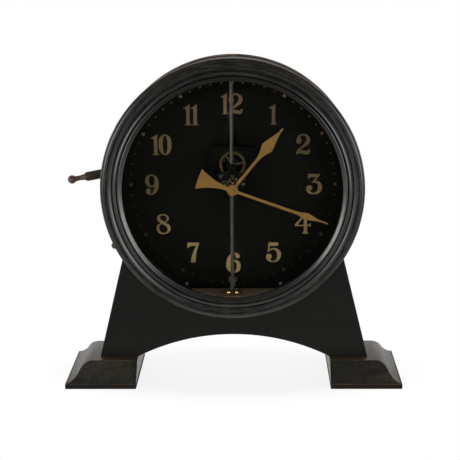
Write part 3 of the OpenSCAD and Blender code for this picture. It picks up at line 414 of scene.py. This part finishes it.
def spun(name, profile, steps=288, place=Matrix.Translation(dial_centre), closed=True):
    """A profile of radius and depth, turned about the dial's axis or a lathe axis of its own."""
    shape = bmesh.new()
    corners = [shape.verts.new((r * MM, y * MM, 0)) for r, y in profile]
    rim = [shape.edges.new((corners[i - 1], corners[i])) for i in range(0 if closed else 1, len(corners))]
    bmesh.ops.spin(
        shape, geom=corners + rim, cent=(0, 0, 0), axis=(0, 1, 0), angle=math.tau, steps=steps,
        use_merge=True,
    )
    bmesh.ops.remove_doubles(shape, verts=shape.verts, dist=1e-7)
    bmesh.ops.recalc_face_normals(shape, faces=shape.faces)
    bmesh.ops.transform(shape, matrix=place, verts=shape.verts)
    mesh = bpy.data.meshes.new(name)
    shape.to_mesh(mesh)
    shape.free()
    return mesh


bezel_profile = (
    [(106.6, -18.7), (106.6, -25.6), (107.0, -25.6)]
    + arc((107.75, -28.4), 0.75, 190, 110, 6)
    + arc((107.22, -25.04), 4.2, 82, 44, 14)
    + [(110.55, -27.3), (110.9, -25.7), (111.4, -25.7)]
    + arc((112.4, -25.9), 0.7, 170, 120, 5)
    + arc((117.1, -15.7), 11.8, 115, 88, 14)
    + arc((117.6, -27.0), 0.5, 80, 10, 5)
    + [(118.2, -24.7)]
    + arc((118.9, -25.6), 0.55, 180, 100, 5)
    + arc((118.13, -22.32), 3.84, 79, 48, 12)
    + [(120.85, -24.1)]
    + arc((121.35, -23.3), 0.95, 130, -60, 14)
    + [(121.1, -21.4), (121.1, -18.7)]
)
bezel_wood = ebonised("bezel_wood", "#0a0a09", "#121210", "#121210", (90, 90, 90), (0.24, 0.16), 0.05, 1.0)
lathe = bezel_wood.node_tree
bezel_skin = lathe.nodes["Principled BSDF"]
scratch_length, scratch_pitch = (7.0, 0.0, 7.0), 900.0
radius = ring_radius(lathe)
outer_rub = spread(lathe, radius, 120.9 * MM, 121.9 * MM)
streaks = spread(lathe, grain(lathe, object_place(lathe), 45.0, 6.0), 0.3, 0.62)
rub_share = reckon(lathe, "MULTIPLY", outer_rub, streaks)
centred = add(lathe, "Mapping", {"Vector": object_place(lathe), "Location": -dial_centre}).outputs[0]
round_way = add(lathe, "VectorMath", {0: centred}, operation="NORMALIZE").outputs[0]
across_way = add(lathe, "CombineXYZ", {"Y": reckon(lathe, "MULTIPLY", radius, scratch_pitch)}).outputs[0]
wound = add(lathe, "VectorMath", {0: round_way, 1: scratch_length, 2: across_way}, operation="MULTIPLY_ADD")
scratches = grain(lathe, wound.outputs[0], 1.0, 5.0, 0.7)
bezel_colour = bezel_skin.inputs["Base Color"].links[0].from_socket
scratch_share = spread(lathe, scratches, 0.46, 0.72, 0.0, 0.75)
bezel_colour = blend_tones(lathe, scratch_share, bezel_colour, tone("#393833"))
bezel_colour = blend_tones(lathe, rub_share, bezel_colour, tone("#54483d"))
lathe.links.new(bezel_colour, bezel_skin.inputs["Base Color"])
lathe.links.new(spread(lathe, scratches, 0.42, 0.68, 0.17, 0.3), bezel_skin.inputs["Roughness"])
bezel_mesh = spun("bezel_finished", bezel_profile)
placed(bezel_mesh, "bezel_finished", "door", bezel_wood, ("bezel_ring",))

# Sight ring and glass.
# A ring of browned metal that slopes in towards the dial holds a flat pane against a thin brass
# retainer behind. The pane reflects little, so that the dial reads from the sides.
def metal(name, colour, dull, rough, stretch, edge="#d8d0c0", width=0.12, wear=0.4, **sockets):
    """Metal with uneven tarnish, fine lines of working and brighter corners."""
    finish, tree, skin = new_finish(name, Metallic=1.0, **sockets)
    tarnish = use(tree, CLOUDY_STAIN, Stretch=stretch, Fine_Share=0.35)
    corners = use(tree, EDGE_WEAR_AND_SHEEN, Width=width * MM, Breakup_Scale=400.0, Breakup=0.5)
    tint = blend_tones(tree, tarnish["Tone"], tone(colour), tone(dull))
    tint = blend_tones(tree, reckon(tree, "MULTIPLY", corners["Mask"], wear), tint, tone(edge))
    tree.links.new(tint, skin.inputs["Base Color"])
    tree.links.new(spread(tree, tarnish["Tone"], 0.0, 1.0, *rough), skin.inputs["Roughness"])
    raise_surface(tree, skin, tarnish["Height"], 0.01)
    return finish


browned_metal = metal("sight_metal", "#4b4b49", "#3d3d3b", (0.18, 0.26), (160, 160, 160), wear=0.0)
sight_profile = (
    [(106.0, -25.9)]
    + arc((105.0, -28.87), 1.1, 5, 100, 8)
    + arc((111.8, -13.95), 17.0, 114, 123, 12)
    + arc((102.4, -27.5), 0.75, 130, 190, 6)
    + [(101.65, -25.9)]
)
sight_mesh = spun("sight_ring_finished", sight_profile)
placed(sight_mesh, "sight_ring_finished", "door", browned_metal, ("sight_ring",))
old_brass = metal("aged_brass", "#b4934f", "#7c6236", (0.3, 0.5), (500, 500, 500))
retainer_brass = metal("retainer_brass", "#332b20", "#1e1a15", (0.4, 0.55), (300, 300, 300), wear=0.0)
dressed("glass_retainer", "door", retainer_brass)

pane, pane_tree, pane_skin = new_finish(
    "glass", Base_Color=(0.97, 0.98, 0.97, 1), Roughness=0.0, IOR=1.2, Transmission_Weight=1.0
)
clear = add(pane_tree, "BsdfTransparent", {"Color": (0.95, 0.96, 0.95, 1)})
by_shadow = add(pane_tree, "LightPath").outputs["Is Shadow Ray"]
through = add(pane_tree, "MixShader", {0: by_shadow, 1: pane_skin.outputs[0], 2: clear.outputs[0]})
pane_tree.links.new(through.outputs[0], pane_tree.nodes["Material Output"].inputs["Surface"])
dressed("glass", "door", pane)

# Catch and hinge.
# A small turned knob at the lower left pulls the bezel open against a brass butt hinge on the
# right, whose leaves are let into the bezel and the drum.
knob_wood = ebonised("knob_wood", "#33271f", "#574233", "#8a6a50", (300, 300, 300), (0.45, 0.35), 0.3, 0.4)
dressed("catch_knob", "door", knob_wood, ease=0.15)
dressed("hinge_door_leaf", "door", old_brass, ease=0.1)
for leaf in ("hinge_drum_leaf", "hinge_pin"):
    dressed(leaf, "case", old_brass, ease=0.1)

# Dial.
# A thin plate in matt black with twelve numerals and sixty dots in dull gilt, and a slot behind
# the rack for the lever's pin. Four small screws hold it against the drum's shoulder.
dial_face = 8.3
dial_black, black_tree, black_skin = new_finish("dial_black", Specular_IOR_Level=0.03)
bloom = use(black_tree, CLOUDY_STAIN, Stretch=(55, 55, 55), Fine_Share=0.3)
dust = use(black_tree, SPECKS, Scale=260.0, Reach=0.14)
black_tone = blend_tones(black_tree, bloom["Tone"], tone("#090908"), tone("#0f0f0c"))
black_tree.links.new(
    blend_tones(black_tree, dust["Mask"], black_tone, tone("#3c382f")), black_skin.inputs["Base Color"]
)
black_tree.links.new(spread(black_tree, bloom["Tone"], 0, 1, 0.5, 0.65), black_skin.inputs["Roughness"])
raise_surface(black_tree, black_skin, bloom["Height"], 0.004)
dressed("dial_plate", "case", dial_black)

# Outlines in hundredths of a numeral's height: across, up, and 1 at a corner or 0 on a curve.
FIGURES = {
    "1": [[(-17, 0, 1), (-17, 2, 1), (-9, 5, 0), (-8, 13, 0), (-8, 76, 1), (-11, 78, 0), (-21, 80, 1),
        (-21, 84, 1), (-13, 87, 0), (-1, 94, 0), (6, 100, 1), (9, 100, 1), (9, 13, 0), (11, 5, 0),
        (18, 2, 1), (18, 0, 1)]],
    "2": [[(-34, 0, 1), (-33, 11, 0), (-25, 24, 0), (-9, 38, 0), (5, 54, 0), (13, 67, 0), (15, 78, 0),
        (9, 89, 0), (-2, 92, 0), (-12, 89, 0), (-16, 81, 1), (-10, 73, 0), (-9, 63, 0), (-14, 54, 0),
        (-23, 51, 0), (-31, 55, 0), (-34, 66, 0), (-30, 82, 0), (-18, 95, 0), (-1, 100, 0), (20, 93, 0),
        (33, 74, 0), (28, 54, 0), (13, 41, 0), (-7, 29, 0), (-19, 18, 1), (-7, 21, 0), (7, 18, 0),
        (21, 18, 0), (26, 24, 1), (33, 25, 1), (32, 12, 0), (26, 2, 0), (13, 0, 0), (-3, 3, 0),
        (-18, 5, 0), (-29, 0, 1)]],
    "3": [[(-30, 100, 1), (29, 100, 1), (29, 96, 1), (6, 66, 1), (20, 65, 0), (33, 54, 0), (39, 35, 0),
        (33, 15, 0), (19, 3, 0), (-2, 0, 0), (-23, 4, 0), (-35, 16, 0), (-38, 31, 0), (-32, 41, 0),
        (-22, 44, 0), (-12, 40, 0), (-9, 31, 0), (-14, 23, 0), (-21, 19, 1), (-13, 10, 0), (0, 7, 0),
        (13, 15, 0), (19, 34, 0), (15, 51, 0), (3, 57, 0), (-9, 56, 1), (-10, 61, 1), (11, 85, 1),
        (-7, 85, 0), (-19, 83, 0), (-24, 77, 1), (-30, 77, 1)]],
    "4": [[(-6, 0, 1), (-6, 2, 1), (2, 5, 0), (4, 12, 0), (4, 38, 1), (-40, 38, 1), (-40, 44, 1),
        (7, 100, 1), (21, 100, 1), (21, 44, 1), (31, 46, 0), (35, 54, 1), (38, 54, 1), (38, 36, 1),
        (35, 36, 1), (31, 38, 0), (21, 38, 1), (21, 12, 0), (23, 5, 0), (30, 2, 1), (30, 0, 1)],
        [(4, 83, 1), (4, 44, 1), (-27, 44, 1)]],
    "5": [[(-23, 100, 1), (24, 100, 1), (22, 83, 1), (-18, 83, 1), (-21, 65, 1), (-9, 70, 0), (4, 72, 0),
        (22, 66, 0), (36, 48, 0), (35, 26, 0), (21, 6, 0), (-1, 0, 0), (-23, 5, 0), (-35, 17, 0),
        (-36, 32, 0), (-30, 40, 0), (-19, 42, 0), (-10, 36, 0), (-8, 28, 0), (-12, 20, 0), (-17, 16, 1),
        (-9, 9, 0), (1, 7, 0), (13, 15, 0), (18, 36, 0), (13, 56, 0), (2, 64, 0), (-11, 62, 0),
        (-24, 53, 1), (-28, 53, 1)]],
    "6": [[(7, 100, 0), (21, 97, 0), (30, 88, 0), (30, 79, 0), (21, 73, 0), (12, 77, 0), (9, 85, 0),
        (11, 92, 1), (3, 93, 0), (-7, 82, 0), (-11, 56, 1), (-5, 62, 0), (5, 65, 0), (22, 60, 0),
        (34, 46, 0), (35, 29, 0), (29, 11, 0), (13, 1, 0), (-2, 0, 0), (-20, 6, 0), (-33, 24, 0),
        (-35, 47, 0), (-30, 72, 0), (-16, 92, 0)],
        [(2, 58, 0), (12, 51, 0), (16, 33, 0), (12, 14, 0), (2, 6, 0), (-9, 14, 0), (-13, 33, 0),
        (-11, 49, 0), (-5, 56, 0)]],
    "7": [[(-29, 100, 1), (29, 100, 1), (29, 96, 1), (19, 68, 0), (13, 35, 0), (11, 0, 1), (-13, 0, 1),
        (-8, 31, 0), (3, 61, 0), (14, 83, 1), (-10, 83, 0), (-19, 80, 0), (-23, 73, 1), (-29, 73, 1)]],
    "8": [[(-2, 100, 0), (15, 96, 0), (26, 83, 0), (23, 69, 0), (12, 58, 0), (27, 47, 0), (34, 30, 0),
        (28, 12, 0), (12, 2, 0), (-2, 0, 0), (-21, 4, 0), (-33, 19, 0), (-34, 34, 0), (-27, 48, 0),
        (-16, 55, 0), (-27, 65, 0), (-31, 79, 0), (-27, 92, 0), (-15, 98, 0)],
        [(-2, 94, 0), (11, 90, 0), (16, 78, 0), (8, 63, 0), (-6, 69, 0), (-17, 79, 0), (-14, 90, 0)],
        [(-10, 50, 0), (4, 44, 0), (18, 31, 0), (16, 14, 0), (0, 6, 0), (-15, 12, 0), (-22, 27, 0),
        (-19, 43, 0)]],
    "9": [[(-2, 100, 0), (16, 95, 0), (29, 78, 0), (32, 52, 0), (28, 26, 0), (14, 7, 0), (-6, 0, 0),
        (-21, 4, 0), (-29, 15, 0), (-27, 26, 0), (-18, 31, 0), (-9, 27, 0), (-7, 17, 0), (-11, 9, 1),
        (-4, 7, 0), (7, 19, 0), (12, 47, 1), (6, 40, 0), (-2, 38, 0), (-19, 42, 0), (-30, 56, 0),
        (-32, 74, 0), (-24, 92, 0)],
        [(-2, 94, 0), (9, 88, 0), (13, 69, 0), (9, 51, 0), (-1, 45, 0), (-11, 52, 0), (-14, 72, 0),
        (-11, 89, 0)]],
    "0": [[(0, 100, 0), (18, 92, 0), (29, 71, 0), (31, 50, 0), (29, 29, 0), (18, 8, 0), (0, 0, 0),
        (-18, 8, 0), (-29, 29, 0), (-31, 50, 0), (-29, 71, 0), (-18, 92, 0)],
        [(0, 95, 0), (8, 83, 0), (12, 50, 0), (8, 17, 0), (0, 5, 0), (-8, 17, 0), (-12, 50, 0),
        (-8, 83, 0)]],
}
figure_h = 19.5
figure_ring_r = 76.7
paint_t = 0.03
pair_shifts = {"10": (-31, 15), "11": (-17, 18), "12": (-35, 16)}
lettering = bpy.data.curves.new("numerals", "CURVE")
lettering.dimensions = "2D"
lettering.fill_mode = "BOTH"
lettering.resolution_u = 6
lettering.extrude = paint_t * MM
for hour in range(1, 13):
    angle = math.radians(90 - 30 * hour)
    spot = Vector((math.cos(angle), math.sin(angle))) * figure_ring_r
    for digit, shift in zip(str(hour), pair_shifts.get(str(hour), (0,))):
        for outline in FIGURES[digit]:
            line = lettering.splines.new("BEZIER")
            line.bezier_points.add(len(outline) - 1)
            line.use_cyclic_u = True
            for point, (across, up, corner) in zip(line.bezier_points, outline):
                x = spot[0] + (across + shift) * figure_h / 100
                z = spot[1] + (up - 50) * figure_h / 100
                point.co = (x * MM, z * MM, 0)
                point.handle_left_type = point.handle_right_type = "VECTOR" if corner else "AUTO"
drawn = bpy.data.objects.new("numeral_outlines", lettering)
scene.collection.objects.link(drawn)
bpy.context.view_layer.update()
numeral_mesh = bpy.data.meshes.new_from_object(drawn.evaluated_get(bpy.context.evaluated_depsgraph_get()))
bpy.data.objects.remove(drawn)
paint_place = Matrix.Translation(dial_centre + Vector((0, (dial_face - paint_t) * MM, 0)))
numeral_mesh.transform(paint_place @ Matrix.Rotation(math.pi / 2, 4, "X"))
paint_shape = bmesh.new()
paint_shape.from_mesh(numeral_mesh)
bmesh.ops.remove_doubles(paint_shape, verts=paint_shape.verts, dist=1e-7)
paint_shape.to_mesh(numeral_mesh)
paint_shape.free()

gilt_paint, gilt_tree, gilt_skin = new_finish("gilt_paint", Metallic=0.35, Specular_IOR_Level=0.4)
flakes = use(gilt_tree, CLOUDY_STAIN, Stretch=(420, 420, 420), Fine_Share=0.5)
gilt_place = object_place(gilt_tree)
gilt_height = add(gilt_tree, "SeparateXYZ", {0: gilt_place}).outputs["Z"]
# The gilt is painted lighter towards the bottom of the dial and browner towards the top: painted light from
# the pale floor below.
gilt_painted_light = spread(gilt_tree, gilt_height, 120 * MM, 250 * MM)
gilt_tone = blend_tones(gilt_tree, gilt_painted_light, tone("#8d784a"), tone("#604a2c"))
flake_share = reckon(gilt_tree, "MULTIPLY", flakes["Tone"], 0.5)
gilt_tone = blend_tones(gilt_tree, flake_share, gilt_tone, tone("#5a4a30"))
# Two broad patches, at the upper right and at the left, are painted darker: painted shade where the gilt
# catches less light.
for painted_shade_spot, reach in (((62, 0, 222), 70), ((-78, 0, 186), 45)):
    centre = tuple(Vector(painted_shade_spot) * MM)
    away = add(gilt_tree, "VectorMath", {0: gilt_place, 1: centre}, operation="DISTANCE").outputs["Value"]
    painted_shade_share = spread(gilt_tree, away, reach * MM, 0.3 * reach * MM, 0.0, 0.55)
    gilt_tone = blend_tones(gilt_tree, painted_shade_share, gilt_tone, tone("#35281a"))
gilt_tree.links.new(gilt_tone, gilt_skin.inputs["Base Color"])
gilt_tree.links.new(spread(gilt_tree, flakes["Tone"], 0, 1, 0.4, 0.6), gilt_skin.inputs["Roughness"])
raise_surface(gilt_tree, gilt_skin, flakes["Height"], 0.02)
placed(numeral_mesh, "numerals", "case", gilt_paint)

dot_ring_r, hour_dot_r, minute_dot_r = 96.6, 1.6, 0.8
dots = bmesh.new()
for minute in range(60):
    angle = math.radians(6 * minute)
    dot_r = hour_dot_r if minute % 5 == 0 else minute_dot_r
    spot = Vector((dot_ring_r * math.cos(angle), dial_face, dot_ring_r * math.sin(angle)))
    seat = Matrix.Translation(dial_centre + spot * MM)
    bmesh.ops.create_cone(
        dots, cap_ends=True, segments=20, radius1=dot_r * MM, radius2=dot_r * MM, depth=paint_t * MM,
        matrix=seat @ Matrix.Translation((0, -paint_t * MM / 2, 0)) @ Matrix.Rotation(math.pi / 2, 4, "X"),
    )
dot_mesh = bpy.data.meshes.new("minute_dots")
dots.to_mesh(dot_mesh)
dots.free()
dot_paint, dot_tree, dot_skin = new_finish("dot_paint", Roughness=0.55, Specular_IOR_Level=0.2)
dot_height = add(dot_tree, "SeparateXYZ", {0: object_place(dot_tree)}).outputs["Z"]
# Dots painted darker towards the bottom and brighter brown towards the top: painted shade below and a
# painted reflection at the top.
dot_painted_light = spread(dot_tree, dot_height, 160 * MM, 280 * MM)
dot_colour = blend_tones(dot_tree, dot_painted_light, tone("#2e2a21"), tone("#745233"))
dot_tree.links.new(dot_colour, dot_skin.inputs["Base Color"])
placed(dot_mesh, "minute_dots", "case", dot_paint)

bright_steel = metal("bright_steel", "#c9c6be", "#8d8a83", (0.22, 0.35), (600, 600, 600))
dressed("dial_screws", "case", bright_steel, ease=0.12)
dressed("back_cover_screws", "case", old_brass, ease=0.15)

# Rack.
# A steel bar with fine teeth cut down its right edge stands in front of the dial. Brass blocks
# and round-headed screws hold its ends, and a T-shaped stop near the foot ends the fall.
grey_steel = metal("rack_steel", "#726d64", "#37342f", (0.3, 0.45), (500, 500, 60), wear=0.2)
dressed("rack", "case", grey_steel, ease=0.3)
dark_stop = metal("stop_steel", "#4c473f", "#2b2824", (0.4, 0.55), (400, 400, 400))
dressed("rack_stop", "case", dark_stop, ease=0.2)
dark_brass = metal("darkened_brass", "#5f5233", "#3f3724", (0.4, 0.55), (400, 400, 400), wear=0.2)
for block in ("rack_foot", "rack_top_block"):
    dressed(block, "case", dark_brass, ease=0.25)
polished_brass = metal("polished_brass", "#e3bf6e", "#b8924a", (0.14, 0.25), (500, 500, 500))
dressed("rack_screws", "case", polished_brass)

# Lever.
# A flat steel arm swings behind the dial on a stud. Outside the drum it carries a dark ferrule
# and a turned wooden handle with a ball end, rubbed and streaked by the hand.
blackened = metal("blackened_steel", "#5c5750", "#34312d", (0.38, 0.55), (300, 300, 300))
dressed("lever_arm", "lever", blackened, ease=0.2)
dressed("lever_pivot", "case", blackened, ease=0.15)
lever_slope, lever_pivot = math.radians(10.8), Vector((-80, 15, 202.3))
bore_r, collar_mid_r = 1.86, 2.2
collar = dressed("lever_collar", "lever", old_brass, ease=0.15)
# The collar's bore is eased, clear of the stud that the lever turns on.
for corner in collar.data.vertices:
    from_axis = (corner.co - lever_pivot * MM) * Vector((1, 0, 1))
    if from_axis.length < collar_mid_r * MM:
        corner.co += from_axis * (bore_r * MM / from_axis.length - 1)
ferrule_finish = ebonised(
    "ferrule_finish", "#100d0a", "#483820", "#8a6c3c", (90, 420, 420), (0.5, 0.38), 0.4, 0.6,
    Specular_IOR_Level=0.25,
)
handle_finish = ebonised(
    "handle_finish", "#1c120c", "#634431", "#8a6a50", (130, 420, 420), (0.4, 0.28), 0.4, 0.6,
    Coat_Weight=0.12, Coat_Roughness=0.25,
)
ball_r, ball_reach = 4.15, 74.8
outward = Vector((math.cos(lever_slope), 0, math.sin(lever_slope)))
ball_centre = (lever_pivot - ball_reach * outward) * MM
along_lever = Matrix.Rotation(-lever_slope, 4, "Y") @ Matrix.Rotation(-math.pi / 2, 4, "Z")
lever_lathe = Matrix.Translation(ball_centre) @ along_lever
ball_angles = [math.radians(a) for a in range(0, 141, 7)]
handle_profile = [(ball_r * math.sin(a), -ball_r * math.cos(a)) for a in ball_angles] + [
    (2.62, 4.3), (2.5, 5.2), (2.42, 6.4), (2.4, 7.6), (2.48, 8.8), (2.62, 9.9), (2.84, 11.0), (3.1, 12.2),
    (3.3, 13.2), (0, 13.4),
]
handle_mesh = spun("lever_handle_finished", handle_profile, 48, lever_lathe, closed=False)
placed(handle_mesh, "lever_handle_finished", "lever", handle_finish, ("lever_handle",))
ferrule_profile = [
    (0, 13.0), (3.35, 13.0), (3.9, 13.7), (4.3, 14.4), (4.42, 15.2), (4.45, 31.4), (4.2, 32.2), (0, 32.2),
]
ferrule_mesh = spun("lever_ferrule_finished", ferrule_profile, 48, lever_lathe, closed=False)
placed(
    ferrule_mesh, "lever_ferrule_finished", "lever", ferrule_finish, ("lever_ferrule",),
    ease=0.12,
)

# Movement frame.
# Two dark plates on four pillars hold the train. Guides and a brass keeper clasp the rack, and a
# shaped steel bridge in front carries the hands on a stud.
japanned = ebonised(
    "japanned_plate", "#070706", "#0c0c0a", "#161513", (80, 80, 80), (0.55, 0.45), 0.15, 0.6,
    Specular_IOR_Level=0.03,
)
for plate in ("front_plate", "back_plate"):
    dressed(plate, "movement", japanned, ease=0.1)
bridge_steel = metal("bridge_steel", "#191b18", "#0d0e0d", (0.3, 0.45), (260, 260, 260), wear=0.2)
for part in ("front_bridge", "balance_cock", "lift_bracket", "rack_guides", "pillars"):
    dressed(part, "movement", bridge_steel, ease=0.15)
dressed("rack_keeper", "movement", old_brass, ease=0.15)
screw_steel = metal("screw_steel", "#d6d3cc", "#97938c", (0.1, 0.16), (600, 600, 600), wear=0.2)
dressed("movement_screws", "movement", screw_steel, ease=0.22, steps=3)
dressed("hand_studs", "movement", bright_steel, ease=0.1)

# Going train.
# Brass wheels and steel pinions run from the rack to the escape wheel between the plates. A
# ratchet and click on the first arbor let the movement be lifted without turning the train.
wheel_brass = metal("wheel_brass", "#b79a58", "#7f6738", (0.25, 0.42), (350, 350, 350))
train = {
    "rack_pinion": ("pinion", "motion_steel", bright_steel),
    "great_wheel": ("great", "wheel_brass", wheel_brass),
    "click": ("click", "motion_steel", bright_steel),
    "intermediate_wheel": ("intermediate", "wheel_brass", wheel_brass),
    "centre_wheel": ("centre", "wheel_brass", wheel_brass),
    "third_wheel": ("third", "wheel_brass", wheel_brass),
    "fourth_wheel": ("fourth", "wheel_brass", wheel_brass),
    "escape_wheel": ("escape", "wheel_brass", wheel_brass),
    "pallet_lever": ("pallet", "motion_steel", bright_steel),
}
for node, (body, slot, finish) in train.items():
    dressed(node, body, finish)

# Balance.
# A brass balance with three arms swings above the hands in front of the plate, with a blued
# spring behind it that is pinned to a stud.
dull_brass = metal(
    "balance_brass", "#5a4e35", "#373021", (0.35, 0.5), (300, 300, 300), width=0.15, wear=0.15
)
dressed("balance_wheel", "balance", dull_brass, ease=0.12)
dressed("balance_staff", "balance", bright_steel)
blued = metal("blued_steel", "#20262f", "#14181f", (0.25, 0.35), (400, 400, 400))
dressed("hairspring", "balance", blued)

# Motion work.
# Small steel and brass wheels in front of the bridge turn the hour hand at a twelfth of the
# minute hand's rate.
grey_gear = metal("gear_steel", "#3f3e3a", "#272623", (0.35, 0.45), (500, 500, 500), wear=0.2)
for node, body, slot, finish in (
    ("drive_wheel", "drive", "motion_steel", grey_gear),
    ("cannon_pinion", "minute", "motion_steel", grey_gear),
    ("minute_wheel", "minute_gear", "wheel_brass", dull_brass),
    ("hour_wheel", "hour", "motion_steel", grey_gear),
):
    dressed(node, body, finish)

# Hands.
# Thin gilt hands: a lozenge for the hours, and a long pointer with a spade and a flared tail for
# the minutes, held by a small round nut. Their edges are eased and catch the light.
gilt, hand_tree, hand_skin = new_finish("hand_gilt", Metallic=0.4, Specular_IOR_Level=0.5)
gold_cloud = use(hand_tree, CLOUDY_STAIN, Stretch=(260, 260, 260), Fine_Share=0.5)
# Paler gilt along the edges is a painted highlight where the eased edges catch the light.
painted_edge_highlight = use(hand_tree, EDGE_WEAR_AND_SHEEN, Width=0.25 * MM, Breakup_Scale=300.0, Breakup=0.3)
gold = blend_tones(hand_tree, gold_cloud["Tone"], tone("#7e5e22"), tone("#694a17"))
gold = blend_tones(hand_tree, painted_edge_highlight["Mask"], gold, tone("#c49c50"))
hand_tree.links.new(gold, hand_skin.inputs["Base Color"])
hand_tree.links.new(spread(hand_tree, gold_cloud["Tone"], 0, 1, 0.36, 0.5), hand_skin.inputs["Roughness"])
raise_surface(hand_tree, hand_skin, gold_cloud["Height"], 0.02)
dressed("minute_hand", "minute", gilt, ease=0.2)
dressed("hour_hand", "hour", gilt, ease=0.2)
dressed("hand_nut", "minute", gilt, ease=0.2)
